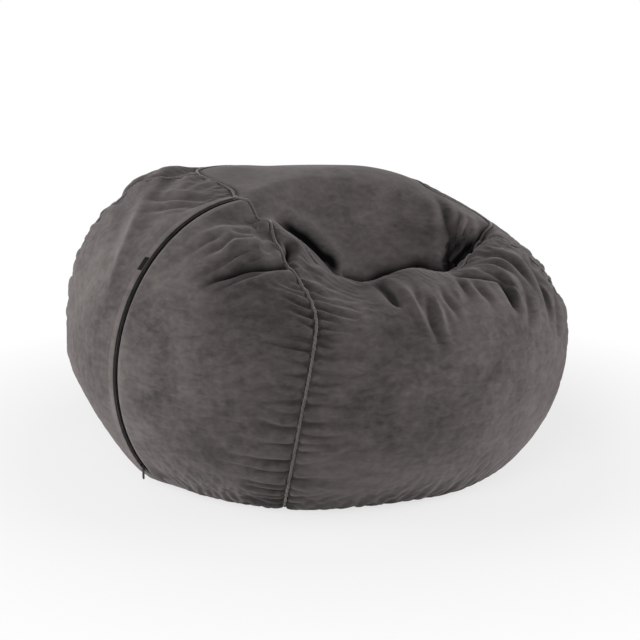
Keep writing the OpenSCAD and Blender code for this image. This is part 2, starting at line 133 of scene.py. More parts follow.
def section(s):
    """Radius, height and facing angle at length s along the section: a flat foot, the toe's arc, the
    flank's arc, and a crown whose height rises with (1 - share^2)^2."""
    toe = (s - FOOT_R) / (TOE_S - FOOT_R)
    flank = (s - TOE_S) / (CROWN_S - TOE_S)
    crown = 1 - (s - CROWN_S) / CROWN_R
    where = [s < FOOT_R, s < TOE_S, s < CROWN_S]
    up = math.pi / 2
    facing = np.select(
        where,
        [-up + 0 * s, -up + toe * (TOE_END + up), TOE_END + flank * (up - TOE_END)],
        up)
    radius = np.select(
        where,
        [s, FOOT_R + TOE_R * np.cos(facing), CROWN_R + FLANK_R * np.cos(facing)],
        CROWN_R * crown)
    height = np.select(
        where,
        [0 * s, TOE_R + TOE_R * np.sin(facing), MID_Z + FLANK_R * np.sin(facing)],
        BAG_H + CROWN_RISE * (1 - crown ** 2) ** 2)
    return radius, height, facing


def dent(p, depth, at, reach, turn):
    """depth times the fall-off of the squared distance in an ellipse turned by `turn` degrees."""
    dx, dy = p[..., 0] - at[0], p[..., 1] - at[1]
    c, s = math.cos(math.radians(turn)), math.sin(math.radians(turn))
    return depth * falloff(((dx * c + dy * s) / reach[0]) ** 2 + ((dy * c - dx * s) / reach[1]) ** 2)


def blob(p, at, reach):
    """The fall-off of the squared distance from a point, over its reach."""
    return falloff(np.sum((p - np.array(at)) ** 2, -1) / reach ** 2)


# The strip of cloth beside the zip that stays as it was cut: half its width, and how far it fades.
CALM_HALF = 0.028
CALM_FADE = 0.042

# Swellings, and a tuck: how far outwards, where, and their reach.
SWELLS = [
    (0.05, (-0.4, 0.12, 0.5), 0.35),
    (0.006, (0.56, -0.02, 0.43), 0.2),
    (-0.028, (-0.5, -0.15, 0.09), 0.23),
]

# How deep the bag is pressed in, where, the reach both ways, and its turn: the slump, the seat, two
# dips in the seat's edge, and the rise of its front edge.
DENTS = [
    (0.13, (0.26, -0.275), (0.45, 0.83), -28),
    (0.135, (0.14, -0.11), (0.35, 0.225), 24),
    (0.038, (0.09, -0.33), (0.135, 0.225), 0),
    (0.038, (-0.105, -0.3), (0.34, 0.155), -48),
    (-0.016, (0.2, -0.32), (0.125, 0.14), 0),
]


def calm(p):
    """0 on the strip beside the zip and 1 well away from it. Inside the crown's edge the distance
    inwards counts three times."""
    out = p[..., 0] * ZIP_SIN - p[..., 1] * ZIP_COS
    side = -p[..., 1] * ZIP_SIN - p[..., 0] * ZIP_COS
    away = np.hypot(3 * np.minimum(out - CROWN_R, 0), side)
    return smooth((away - CALM_HALF) / CALM_FADE)


def bag_surface(azimuth, s):
    """The section turned about Z by the azimuth, plus the outward way times the swellings, and
    lowered by the dents in proportion to the height above the middle."""
    radius, height, g = section(s)
    ax, ay = np.sin(azimuth), -np.cos(azimuth)
    out = np.stack([ax * np.cos(g), ay * np.cos(g), np.sin(g) + 0 * ax], -1)
    flat = np.stack([ax * radius, ay * radius, height + 0 * ax], -1)
    still = calm(flat)
    swell = sum(size * blob(flat, at, reach) for size, at, reach in SWELLS)
    full = flat + out * (swell * still)[..., None]
    sag = sum(dent(full, *each) for each in DENTS)
    full[..., 2] -= sag * still * np.maximum(full[..., 2] - MID_Z, 0) / FLANK_R
    return full


# The top seam wanders: azimuth, reach either way in degrees, and how far outwards.
RING_WANDER = [(-72, 26, -0.035), (-112, 28, 0.035), (110, 19, 0.066), (128, 15, -0.034)]


def cap_s(azimuth):
    """Length along the section at which the top seam runs: a circle off the bag's middle, moved
    outwards by (1 - q^2)^2 round each place where it wanders."""
    along = CAP_SHIFT[0] * np.sin(azimuth) - CAP_SHIFT[1] * np.cos(azimuth)
    across2 = CAP_SHIFT[0] ** 2 + CAP_SHIFT[1] ** 2 - along ** 2
    r = along + np.sqrt((CAP_D / 2) ** 2 - across2)
    for at, reach, outward in RING_WANDER:
        off = (np.degrees(azimuth) - at + 180) % 360 - 180
        r = r + outward * falloff((off / reach) ** 2)
    on_flank = TOE_S + FLANK_R * (np.arccos(np.clip((r - CROWN_R) / FLANK_R, -1, 1)) - TOE_END)
    return np.where(r <= CROWN_R, CROWN_S + CROWN_R - r, on_flank)


def seam_azimuth(seam, v):
    """Azimuth of a seam at share v of the height. The front seam bows to the left below LEAN_FROM by
    the 1.3th power of what is left of the way down, and leans above it by the square."""
    degrees = SEAMS_AT[seam] + 0 * v
    if seam == FRONT:
        below = FRONT_SEAM_FOOT * np.maximum(1 - v / LEAN_FROM, 0) ** 1.3
        above = FRONT_SEAM_LEAN * (np.maximum(v - LEAN_FROM, 0) / (1 - LEAN_FROM)) ** 2
        degrees = degrees - below - above
    return np.radians(degrees)


def side_s(t, azimuth):
    """Length along the section at share t of the way from the base seam to the top seam."""
    return BASE_S + (cap_s(azimuth) - RING_HALF - BASE_S) * t


def edge_azimuth(seam, t, side):
    """The seam's azimuth, plus the angle of half the gap between the two cloth edges there."""
    a = seam_azimuth(seam, t)
    s = side_s(t, a)
    half = np.full(t.shape, PIPING_HALF)
    if seam == ZIP:
        half = np.where(s > ZIP_LOW_S - 0.001, ZIP_SLOT / 2, STITCH_GAP / 2)
    return a + side * np.arcsin(half / section(s)[0])


def side_columns():
    """How many nodes each side panel has across: its share of the way round, in fours."""
    nodes = [4 * round((b - a) / 360 * AROUND / 4) for a, b in zip(SEAMS_AT, SEAMS_AT[1:])]
    nodes[-1] += AROUND - sum(nodes)
    return nodes


COLUMNS = side_columns()
STARTS = [sum(COLUMNS[:k]) for k in range(len(COLUMNS))]


def side_grid():
    """Azimuth and length of every node of the side, one row of all five panels after another."""
    t = np.linspace(0, 1, ROWS + 1)
    columns = []
    for panel, n in enumerate(COLUMNS):
        a, b = edge_azimuth(panel, t, 1), edge_azimuth(panel + 1, t, -1)
        columns.append(a[:, None] + (b - a)[:, None] * np.linspace(0, 1, n))
    azimuth = np.concatenate(columns, 1)
    return azimuth, side_s(t[:, None], azimuth)


def top_grid(rim_azimuth, rim):
    """A square of nodes mapped to the round top: squares about the middle become rings, and the
    outermost one follows the top seam, `rim` inside it."""
    x, y = np.meshgrid(np.linspace(-1, 1, ACROSS), np.linspace(-1, 1, ACROSS))
    wide = np.abs(x) >= np.abs(y)
    far = np.where(wide, x, y)
    near = np.where(wide, y, x)
    share = math.pi / 4 * near / np.where(far == 0, 1, far)
    phi = np.where(wide, share, math.pi / 2 - share)
    phi = np.where(far < 0, phi + math.pi, phi)
    column = (phi / (2 * math.pi) * AROUND + AROUND * (90 - SEAMS_AT[LEFT]) / 360) % AROUND
    a = np.interp(column, np.arange(AROUND + 1), np.append(rim_azimuth, rim_azimuth[0] + 2 * math.pi))
    return a, TOP_S + (cap_s(a) + rim - TOP_S) * np.abs(far)


def rim_nodes():
    """Row and column of the top grid's rim nodes, in the order of the side's columns."""
    n = AROUND // 8
    k = np.arange(AROUND)
    run = [k < n, k < 3 * n, k < 5 * n, k < 7 * n]
    i = np.select(run, [n + k, 2 * n, 5 * n - k, 0], k - 7 * n)
    j = np.select(run, [2 * n, 3 * n - k, 0, k - 5 * n], 2 * n)
    order = np.argsort((k + round(AROUND * (90 - SEAMS_AT[LEFT]) / 360)) % AROUND)
    return i[order], j[order]


def normals(grid):
    """The unit cross product of the steps along a row and up a column. Each corner takes its
    diagonal neighbour's, because the corners of the top panel's grid are drawn out flat."""
    n = np.cross(np.gradient(grid, axis=1), np.gradient(grid, axis=0))
    n[[0, 0, -1, -1], [0, -1, 0, -1]] = n[[1, 1, -2, -2], [1, -2, 1, -2]]
    return n / np.maximum(np.linalg.norm(n, axis=-1, keepdims=True), 1e-12)


# --- Folds pressed into the cloth ---

def curve(points, count=48):
    """A smooth line through the points: the Catmull-Rom cubic of each four neighbours."""
    p = np.array(points, float)
    p = np.vstack([2 * p[0] - p[1], p, 2 * p[-1] - p[-2]])
    t = np.linspace(0, len(points) - 1 - 1e-9, count)
    k = t.astype(int)
    f = (t - k)[:, None]
    a, b, c, d = p[k], p[k + 1], p[k + 2], p[k + 3]
    square, cube = 2 * a - 5 * b + 4 * c - d, 3 * b - a - 3 * c + d
    return 0.5 * (2 * b + (c - a) * f + square * f ** 2 + cube * f ** 3)


def nearest(p, line):
    """For each point: the way to the nearest point of a line, and how far along the line that is."""
    best = np.full(len(p), np.inf)
    to = np.zeros_like(p)
    share = np.zeros(len(p))
    for k, (a, b) in enumerate(zip(line[:-1], line[1:])):
        t = np.clip((p - a) @ (b - a) / ((b - a) @ (b - a) + 1e-12), 0, 1)
        v = a + t[:, None] * (b - a) - p
        d = np.einsum("ij,ij->i", v, v)
        m = d < best
        best[m], to[m], share[m] = d[m], v[m], (k + t[m]) / (len(line) - 1)
    return to, np.sqrt(best), share


def laid(grids, points):
    """Each point, in centimetres, moved to the nearest node of the cloth."""
    p = np.array(points, float) / 100
    nodes = np.concatenate([g.reshape(-1, 3) for g in grids])
    return np.array([nodes[np.argmin(((nodes - q) ** 2).sum(1))] for q in p])


# Beside a fold, in widths of it: where its lips stand and how wide they are, how far the cloth is
# drawn together, and how far the shade painted into it goes.
LIP_AT = 2.4
LIP_W = 1.1
PINCH_W = 1.6
PAINTED_SHADE_W = 0.9


def fold(grids, points, width, depth, pinch=0.0, way=None, ends=0.3, sharp=2.0, lips=0.0,
         painted_shades=None, painted_shade=0, first=None):
    """With q the distance from a line laid on the cloth, over the width: moves the cloth inwards, or
    the way that is given, by depth times exp(-q^sharp) less lips exp(-((q - LIP_AT) / LIP_W)^2), and
    draws it together across the line by the share `pinch`. All fades out over `ends` of the line, and
    over `first` at its start where that is given. Shade is painted into the fold: the marks keep the
    most of `painted_shade` times exp(-(q / PAINTED_SHADE_W)^2)."""
    line = curve(laid(grids, points))
    reach = (4.5 if lips else 3) * width / 100
    for k, grid in enumerate(grids):
        near = np.all((grid > line.min(0) - reach) & (grid < line.max(0) + reach), -1)
        if not near.any():
            continue
        to, d, t = nearest(grid[near], line)
        fade = smooth(t / (first or ends)) * smooth((1 - t) / ends)
        q = d / (width / 100)
        shape = np.exp(-q ** sharp) - lips * np.exp(-((q - LIP_AT) / LIP_W) ** 2)
        move = -normals(grid)[near] if way is None else np.broadcast_to(way, to.shape)
        across = to - move * np.einsum("ij,ij->i", to, move)[:, None]
        grid[near] += (move * (depth / 100 * fade * shape)[:, None]
                       + across * (pinch * fade * np.exp(-(q / PINCH_W) ** 2))[:, None])
        # Painted shade along the fold; where folds meet, the darkest is kept.
        if painted_shade:
            painted_shades[k][near] = np.maximum(painted_shades[k][near], painted_shade * fade * np.exp(-(q / PAINTED_SHADE_W) ** 2))


DOWN = np.array([0, 0, -1.0])

# Broad forms: points, width, depth, way, ends. A depth below 0 stands proud. In all three lists,
# points, widths and depths are in centimetres.
BROAD = [
    ("the left end of the seat's front edge stands up",
     [(-15, -20, 62), (-11, -22, 59), (-7, -24, 57), (-3, -26, 55), (1, -27, 53)], 5, -2.6, DOWN, 0.3),
    ("the panel beside the zip bulges over the front seam",
     [(-22, -38, 59), (-15, -36, 60), (-10, -35, 60)], 6.5, -1.6, None, 0.3),
    ("the left shoulder stands up",
     [(-49, 6, 60), (-44, 8, 64), (-37, 10, 66), (-31, 8, 67)], 8, -1.6, DOWN, 0.35),
    ("the back of the crown stands up",
     [(-30, 12, 66), (-18, 15, 66), (-5, 17, 66), (8, 17, 65), (20, 15, 63), (30, 12, 60)],
     12, -1.4, DOWN, 0.25),
    ("the right shoulder is drawn in by its seam",
     [(48, -2, 50), (54, -3, 46), (58, -3, 41), (60, -3, 36)], 7, 1.4, None, 0.3),
    ("the front of the foot is drawn up",
     [(-42, -28, 3), (-36, -36, 3), (-20, -46, 3), (0, -50, 3), (20, -46, 3), (36, -36, 3)],
     6, 1.4, None, 0.25),
]

# Sharp creases: points, width, depth, pinch, ends, and how dark the shade painted into them is.
CREASES = [
    ("between the left edge of the seat and the seat",
     [(-10, -17, 61), (-8, -15, 59), (-5, -14, 57), (-3, -13, 56), (0, -13, 54), (1, -13, 52), (3, -14, 50),
      (5, -15, 48), (8, -14, 46)], 2.1, 4.5, 0.4, 0.25, 1),
    ("between the front edge and the seat",
     [(5, -14, 48), (8, -12, 46), (12, -9, 45), (16, -5, 46), (20, -3, 46), (24, -2, 47), (27, -3, 47),
      (29, -5, 46), (31, -6, 47)], 1.1, 2.6, 0.3, 0.15, 0.9),
    ("the deepest corner",
     [(27, -7, 46), (30, -6, 46), (33, -5, 48)], 1.6, 3.4, 0.3, 0.3, 1),
    ("along the top seam behind the front edge",
     [(2, -27, 51), (7, -27, 48), (13, -27, 47), (18, -25, 49), (25, -21, 48), (30, -17, 47)],
     1.5, 1.6, 0.3, 0.2, 0.6),
    ("up the right of the seat to the back",
     [(30, -7, 46), (32, -5, 47), (34, -3, 49), (36, -1, 50), (39, 2, 52), (41, 6, 54), (42, 13, 54)],
     1.7, 4.0, 0.4, 0.2, 1),
    ("under the left of that",
     [(31, -6, 47), (32, -3, 48), (33, 0, 50), (35, 2, 52), (37, 4, 53), (38, 7, 54)],
     1.2, 2.6, 0.3, 0.3, 0.8),
    ("where the bulge beside the zip overhangs the front seam",
     [(-7, -28, 58), (-6, -31, 57), (-6, -34, 56), (-6, -37, 55)], 1.0, 2.2, 0.4, 0.3, 0.8),
    ("under the bulge",
     [(-5, -36, 55), (-7, -38, 55), (-9, -40, 55), (-12, -43, 56), (-17, -45, 55), (-22, -46, 53),
      (-26, -47, 51)], 1.3, 3.2, 0.4, 0.4, 1.3),
    ("below that",
     [(-9, -42, 55), (-13, -45, 54), (-18, -47, 52), (-24, -48, 49)], 1.2, 1.0, 0.2, 0.4, 0.3),
    ("out to the right from the deepest corner",
     [(29, -28, 50), (33, -26, 50), (37, -25, 49), (41, -25, 48), (43, -28, 46), (44, -31, 44),
      (44, -34, 41)], 1.3, 2.6, 0.4, 0.3, 0.7),
    ("down from the front edge",
     [(13, -34, 50), (14, -36, 50), (16, -39, 49), (17, -43, 48), (19, -46, 47)], 0.8, 1.3, 0.3, 0.35, 0.45),
    ("the shade across from the left edge of the seat",
     [(-10, -14, 60), (-7, -12, 58), (-5, -11, 56), (-3, -11, 55), (-1, -11, 53), (1, -11, 51), (3, -11, 50),
      (4, -12, 48), (6, -12, 47)], 1.5, 0.8, 0.1, 0.25, 1.4),
    ("the shade up the right of the seat",
     [(30, -5, 46), (31, -3, 46), (33, -2, 47), (35, 0, 49), (36, 0, 50), (38, 3, 51), (40, 9, 52)],
     1.5, 0.8, 0.1, 0.3, 1.3),
    ("the shade to the left of that",
     [(30, -5, 46), (31, -3, 46), (32, 0, 48), (32, 2, 50), (33, 4, 52), (34, 7, 54)],
     0.8, 0.5, 0.1, 0.4, 0.8),
]

# Soft folds: points, width, depth. They have a ridge on either side, and a depth below 0 is a ridge.
SOFT_FOLDS = [
    ([(30, -7, 46), (31, -1, 49), (32, 3, 52), (32, 8, 56), (31, 14, 59), (29, 19, 60)], 1.4, 2.0),
    ([(31, -6, 47), (33, 0, 50), (34, 4, 53), (35, 10, 56), (34, 18, 58)], 0.9, 1.6),
    ([(32, -5, 47), (34, -1, 50), (36, 3, 53), (37, 8, 55), (37, 15, 57)], 0.8, 1.5),
    ([(31, -27, 50), (32, -30, 49), (33, -34, 48), (34, -39, 46)], 0.8, 0.7),
    ([(34, -27, 49), (36, -31, 48), (38, -34, 47), (39, -38, 44)], 0.9, 0.8),
    ([(34, -21, 49), (38, -22, 50), (42, -23, 49), (46, -27, 46), (47, -33, 42)], 1.2, 1.0),
    ([(34, -16, 48), (38, -16, 50), (43, -17, 49), (47, -21, 46)], 1.0, 0.9),
    ([(36, -10, 48), (41, -9, 50), (46, -12, 49), (49, -19, 46), (50, -27, 42)], 1.4, 1.1),
    ([(47, -3, 51), (50, -7, 48), (52, -15, 45), (53, -22, 40), (53, -28, 36)], 1.3, 1.0),
    ([(44, -16, 49), (47, -22, 46), (48, -30, 42), (47, -37, 37)], 1.1, 0.9),
    ([(54, -8, 44), (56, -14, 41), (56, -20, 37), (55, -26, 32)], 1.1, 0.7),
    ([(11, -35, 50), (14, -38, 48), (17, -43, 47), (20, -49, 45)], 1.3, 0.9),
    ([(23, -38, 50), (24, -42, 48), (25, -47, 45), (26, -50, 42), (27, -53, 37)], 0.9, 1.1),
    ([(21, -36, 50), (22, -41, 49), (23, -46, 46)], 1.0, 0.6),
    ([(27, -34, 50), (28, -38, 49), (30, -42, 47), (32, -46, 44)], 0.7, 0.7),
    ([(18, -37, 50), (20, -42, 48), (22, -47, 46), (24, -50, 43)], 0.7, -0.7),
    ([(25, -38, 49), (26, -42, 47), (27, -46, 45), (28, -50, 42)], 0.7, -0.6),
    ([(30, -33, 50), (31, -37, 48), (32, -41, 46)], 0.7, -0.4),
    ([(41, -20, 50), (44, -23, 48), (45, -27, 45), (46, -32, 42)], 0.8, -0.8),
    ([(49, -12, 47), (53, -16, 44), (54, -20, 41), (54, -24, 38)], 0.8, -0.6),
    ([(-7, -28, 58), (-12, -36, 58), (-17, -42, 58), (-23, -44, 55), (-28, -44, 52)], 1.3, 1.4),
    ([(-7, -32, 57), (-12, -40, 57), (-17, -44, 56), (-22, -46, 54)], 1.0, 1.2),
    ([(-8, -25, 59), (-15, -34, 60), (-21, -39, 59), (-27, -42, 55)], 1.4, 1.3),
    ([(-9, -24, 60), (-16, -31, 61), (-24, -37, 60), (-31, -40, 56)], 1.2, 0.9),
    ([(-10, -46, 52), (-16, -48, 50), (-23, -49, 47)], 1.4, 0.7),
    ([(-42, -6, 61), (-36, -10, 64), (-29, -12, 65), (-22, -13, 66)], 1.3, 0.8),
    ([(-40, -12, 60), (-34, -15, 63), (-27, -17, 65)], 1.1, 0.7),
    ([(-38, 4, 66), (-41, -11, 62), (-44, -26, 53), (-48, -35, 39)], 2.2, -0.9),
]


# Puckers: the rows between them and the two ends of a seam, how long and how far up those low on the
# left of the front seam are, and how deep and how much further apart those of the other seams are.
PUCKER_ROWS = 9, 30
LONG_PUCKER = 1.7
LONG_BELOW = 0.42
PLAIN_PUCKER = 0.45
PLAIN_GAP = 2


def seam_puckers(side, grids, painted_shades):
    """Short folds square to the side seams, on both their sides. Each starts at its seam, a few rows
    above the last one, and fades out. Those of the front seam are deeper and nearer together, and
    low on its left they are also longer."""
    dice = np.random.default_rng(11)
    for seam in (LEFT, FRONT, RIGHT, BACK):
        for way in (-1, 1):
            column = STARTS[seam] - (way < 0)
            row = PUCKER_ROWS[0]
            while row < ROWS - PUCKER_ROWS[1]:
                low_left = seam == FRONT and way < 0 and row < LONG_BELOW * ROWS
                long = LONG_PUCKER if low_left else 1
                reach = dice.integers(12, 34) * long
                lean = dice.uniform(-3, 4) * long
                share = np.array([0, 0.3, 0.65, 1])
                across = (column + way * reach * share).astype(int) % AROUND
                up = np.clip(row + lean * share ** 1.5, 0, ROWS).astype(int)
                depth = dice.uniform(0.3, 0.75) * (0.8 + 0.2 * long if seam == FRONT else PLAIN_PUCKER)
                # Shade is painted into each pucker, darker the deeper it is.
                fold(grids, side[up, across] * 100, dice.uniform(0.45, 0.75), depth, ends=0.8, sharp=1.6,
                     lips=0.3, painted_shades=painted_shades, painted_shade=0.45 * depth, first=0.01)
                row += dice.integers(4, 9) + PLAIN_GAP * (seam != FRONT)


# The strip of cloth that the zip is sewn to: half its width, how far it fades to either side, the
# height of its foot, and how far it fades in above that.
ZIP_CLOTH_HALF = 0.016
ZIP_CLOTH_FADE = 0.034
ZIP_CLOTH_FOOT = 0.03
ZIP_CLOTH_RISE = 0.028


def beside_zip(p):
    """1 on the strip of cloth that the zip is sewn to, down to the zip's foot, and 0 away from it."""
    across = np.abs(p[..., 0] * ZIP_COS + p[..., 1] * ZIP_SIN)
    facing = p[..., 0] * ZIP_SIN - p[..., 1] * ZIP_COS > 0
    near = 1 - smooth((across - ZIP_CLOTH_HALF) / ZIP_CLOTH_FADE)
    return near * smooth((p[..., 2] - ZIP_CLOTH_FOOT) / ZIP_CLOTH_RISE) * facing


def folded(side, top):
    """Both grids with every fold pressed in, the broad ones first, and the shade painted into the folds."""
    grids = [side, top]
    painted_shades = [np.zeros(g.shape[:2]) for g in grids]
    cut = side.copy()
    for _, points, width, depth, way, ends in BROAD:
        fold(grids, points, width, depth, way=way, ends=ends)
    side += (cut - side) * beside_zip(cut)[..., None]
    for _, points, width, depth, pinch, ends, painted_shade in CREASES:
        fold(grids, points, width, depth, pinch, ends=ends, sharp=1.4, lips=0.12, painted_shades=painted_shades, painted_shade=painted_shade)
    seam_puckers(side, grids, painted_shades)
    for points, width, depth in SOFT_FOLDS:
        # Shade is painted into the soft folds, none into their ridges.
        fold(grids, points, width, depth, 0.1, ends=0.5, sharp=1.7, lips=0.35,
             painted_shades=painted_shades, painted_shade=0.16 * max(depth, 0))
    return side, top, painted_shades


# --- Cloth relaxation ---

# Each pass: every how many nodes, steps, bending stiffness, the roughness that it starts from, and
# the shares of the slack that have gone in at its start and once it has grown, GROWING of its steps
# on.
PASSES = [(4, 200, 0.04, 0.0016, 0, 0.6), (2, 160, 0.1, 0.0008, 0.6, 1), (1, 40, 0.3, 0, 1, 1)]
GROWING = 0.6

# Stiffness along the rows and columns and across the diagonals, how much of the roughness each unit
# of hold takes away, and how far inwards a node may go.
STRETCH = 0.9
SHEAR = 0.3
HOLD_CALMS = 5
INWARD_LIMIT = 0.006

# Slack as a share of the length: everywhere, and what is added by the side seams, under the top
# seam, above the foot and at the edge of the top panel, each over a reach. Beside the zip it fades
# out. PANEL_L is about the length of a panel from its foot to the top seam.
PLAIN_SLACK = 0.005
SEAM_SLACK, SEAM_REACH = 0.07, 0.09
SEAM_FROM, SEAM_FADE = 0.05, 0.1
HEM_SLACK, HEM_REACH = 0.04, 0.06
FOOT_SLACK, FOOT_REACH, FOOT_AT = 0.05, 0.08, 0.1
CAP_SLACK, CAP_EDGE_SLACK, CAP_EDGE_REACH = 0.003, 0.02, 0.05
TAUT_HALF, TAUT_FADE = 0.02, 0.08
PANEL_L = 0.75

# How much of the way back to the form a node is drawn in each step: in the open cloth, by the side
# seams, by the top seam and on the top panel, and in the lowest rows. Within HELD_HALF of the zip
# it is all of the way.
OPEN_HOLD = 0.005
SEAM_HOLD = 0.25
CAP_HOLD = 0.08
FOOT_HOLD = 0.5
FOOT_ROWS = 6
HELD_HALF, HELD_FADE = 0.026, 0.03


def pairs(count, reach):
    """Slices of nodes `reach` apart, split so that no node is in one pair of slices twice."""
    out = []
    for phase in range(2 * reach):
        far = slice(phase + reach, count, 2 * reach)
        many = len(range(*far.indices(count)))
        if many:
            out.append((slice(phase, phase + 2 * reach * (many - 1) + 1, 2 * reach), far))
    return out


def links(grid, slack_up, slack_round, bend):
    """Every spring of a grid, as two sets of nodes, the length between them now, the slack to be
    added to it, and its stiffness: along rows and columns, across both diagonals, and bending
    springs over two and four nodes."""
    rows, columns = grid.shape[:2]
    step_up = np.linalg.norm(np.diff(grid, axis=0), axis=-1) * (slack_up[1:] + slack_up[:-1]) / 2
    step_round = np.linalg.norm(np.diff(grid, axis=1), axis=-1)
    step_round = step_round * (slack_round[:, 1:] + slack_round[:, :-1]) / 2
    up = np.vstack([np.zeros((1, columns)), np.cumsum(step_up, 0)])
    round_it = np.hstack([np.zeros((rows, 1)), np.cumsum(step_round, 1)])
    every, left, right = slice(None), slice(0, -1), slice(1, None)
    made = []

    def link(a, b, total, stiffness):
        now = np.linalg.norm(grid[b] - grid[a], axis=-1)
        extra = 0.5 * now * (slack_up[a] + slack_round[a]) if total is None else total[b] - total[a]
        made.append((a, b, now.astype(np.float32), extra.astype(np.float32), stiffness))

    for reach, stiffness in ((1, STRETCH), (2, bend), (4, bend / 2)):
        for a, b in pairs(rows, reach):
            link((a, every), (b, every), up, stiffness)
        for a, b in pairs(columns, reach):
            link((every, a), (every, b), round_it, stiffness)
    for a, b in pairs(rows, 1):
        link((a, left), (b, right), None, SHEAR)
        link((a, right), (b, left), None, SHEAR)
    return made


def pull(p, a, b, rest, stiffness):
    """Moves each pair of nodes towards being `rest` apart, half each."""
    way = p[b] - p[a]
    length = np.sqrt(np.einsum("ijk,ijk->ij", way, way))
    way *= (stiffness * 0.5 * (1 - rest / np.maximum(length, 1e-9)))[..., None]
    p[a] += way
    p[b] -= way


def finer(moved, shape):
    """Twice as many nodes each way: the new ones by the cubic (9 (b + c) - a - d) / 16."""
    for axis in (0, 1):
        old = np.moveaxis(moved, axis, 0)
        new = np.empty((shape[axis],) + old.shape[1:], old.dtype)
        wide = np.concatenate([2 * old[:1] - old[1:2], old, 2 * old[-1:] - old[-2:-1]], 0)
        new[0::2] = old
        new[1::2] = (9 * (wide[1:-2] + wide[2:-1]) - wide[:-3] - wide[3:]) / 16
        moved = np.moveaxis(new, 0, axis)
    return moved


def relaxed(side, top, slack_side, slack_top, hold_side, hold_top):
    """The cloth after its slack has gone into wrinkles. Nodes are drawn back towards the form by
    `hold`, can't go far inwards past it because the beads push back, and stay off the floor."""
    dice = np.random.default_rng(3)
    rim_i, rim_j = rim_nodes()
    moved = None
    for every, steps, bend, rough, share, share_after in PASSES:
        form = [g[::every, ::every].astype(np.float32) for g in (side, top)]
        out = [normals(g) for g in form]
        hold = [h[::every, ::every, None].astype(np.float32) for h in (hold_side, hold_top)]
        springs = [links(g, *[k[::every, ::every] for k in slack], bend)
                   for g, slack in zip(form, (slack_side, slack_top))]
        now = [g.copy() for g in form] if moved is None else [
            g + finer(m, g.shape) for g, m in zip(form, moved)]
        for g, n, h in zip(now, out, hold):
            bumps = dice.standard_normal(g.shape[:2])[..., None] * np.clip(1 - HOLD_CALMS * h, 0, 1)
            g += (n * bumps * rough).astype(np.float32)
        i, j = rim_i[::every] // every, rim_j[::every] // every
        gap = np.linalg.norm(form[1][i, j] - form[0][-1, :-1], axis=-1)
        for step in range(steps):
            grown = np.float32(share + (share_after - share) * min(1, (step + 1) / (GROWING * steps)))
            for g, made in zip(now, springs):
                for a, b, length, extra, stiffness in made:
                    pull(g, a, b, length + extra * grown, stiffness)
            way = now[1][i, j] - now[0][-1, :-1]
            way *= (0.5 * (1 - gap / np.linalg.norm(way, axis=-1)))[:, None]
            now[0][-1, :-1] += way
            now[1][i, j] -= way
            now[0][:, 0] = now[0][:, -1] = (now[0][:, 0] + now[0][:, -1]) / 2
            for g, f, n, h in zip(now, form, out, hold):
                back = f - g
                g += back * h
                deep = np.einsum("ijk,ijk->ij", back, n)[..., None] * (1 - h) - INWARD_LIMIT
                g += n * (0.5 * np.maximum(deep, 0))
            now[0][..., 2] = np.maximum(now[0][..., 2], 0)
        moved = [g - f for g, f in zip(now, form)]
    return now[0].astype(float), now[1].astype(float)


def along_row(grid):
    """Length along each row from its first node."""
    step = np.linalg.norm(np.diff(grid, axis=1), axis=-1)
    return np.hstack([np.zeros((len(grid), 1)), np.cumsum(step, 1)])


def side_slack(t, to_seam, to_zip):
    """Slack up and round the side, by the share t of the way up: none of it beside the zip."""
    up = (PLAIN_SLACK
          + SEAM_SLACK * np.exp(-(to_seam / SEAM_REACH) ** 1.5) * smooth((t - SEAM_FROM) / SEAM_FADE))
    round_it = (PLAIN_SLACK + HEM_SLACK * np.exp(-((1 - t) * PANEL_L / HEM_REACH) ** 1.5)
                + FOOT_SLACK * np.exp(-((t - FOOT_AT) * PANEL_L / FOOT_REACH) ** 2))
    free = smooth((to_zip - TAUT_HALF) / TAUT_FADE)
    return up * free, round_it * free


def side_hold(to_zip):
    """How firmly each node of the side is held: wholly so on the strip beside the zip."""
    hold = np.full(to_zip.shape, OPEN_HOLD)
    for k in STARTS + [-1]:
        hold[:, k] = hold[:, k - 1] = SEAM_HOLD
    hold[-1] = CAP_HOLD
    hold[:FOOT_ROWS] = FOOT_HOLD
    return np.maximum(hold, 1 - smooth((to_zip - HELD_HALF) / HELD_FADE))


def sewn_cover():
    """The side and top grids after folding and relaxing, the base form under each, the azimuth and
    length of each node, and the shade painted into the folds."""
    azimuth, s = side_grid()
    azimuth = np.hstack([azimuth, azimuth[:, :1] + 2 * math.pi])
    s = np.hstack([s, s[:, :1]])
    top_azimuth, top_s = top_grid(azimuth[-1, :-1], RING_HALF)
    base = [bag_surface(azimuth, s), bag_surface(top_azimuth, top_s)]
    side, top, painted_shades = folded(base[0].copy(), base[1].copy())

    at = along_row(side)
    puckered = [STARTS[LEFT], STARTS[FRONT], STARTS[RIGHT], STARTS[BACK], -1]
    to_seam = np.min([np.abs(at - at[:, k][:, None]) for k in puckered], axis=0)
    to_zip = np.abs(at - at[:, STARTS[ZIP]][:, None])
    slack = side_slack(np.linspace(0, 1, ROWS + 1)[:, None], to_seam, to_zip)
    to_rim = CAP_D / 2 - np.hypot(top[..., 0] - CAP_SHIFT[0], top[..., 1] - CAP_SHIFT[1])
    top_slack = CAP_SLACK + CAP_EDGE_SLACK * np.exp(-(to_rim / CAP_EDGE_REACH) ** 2)
    hold = side_hold(to_zip), np.full(top.shape[:2], CAP_HOLD)
    side, top = relaxed(side, top, slack, (top_slack, top_slack), *hold)
    return side, top, base, [(azimuth, s), (top_azimuth, top_s)], painted_shades


# --- Meshes ---

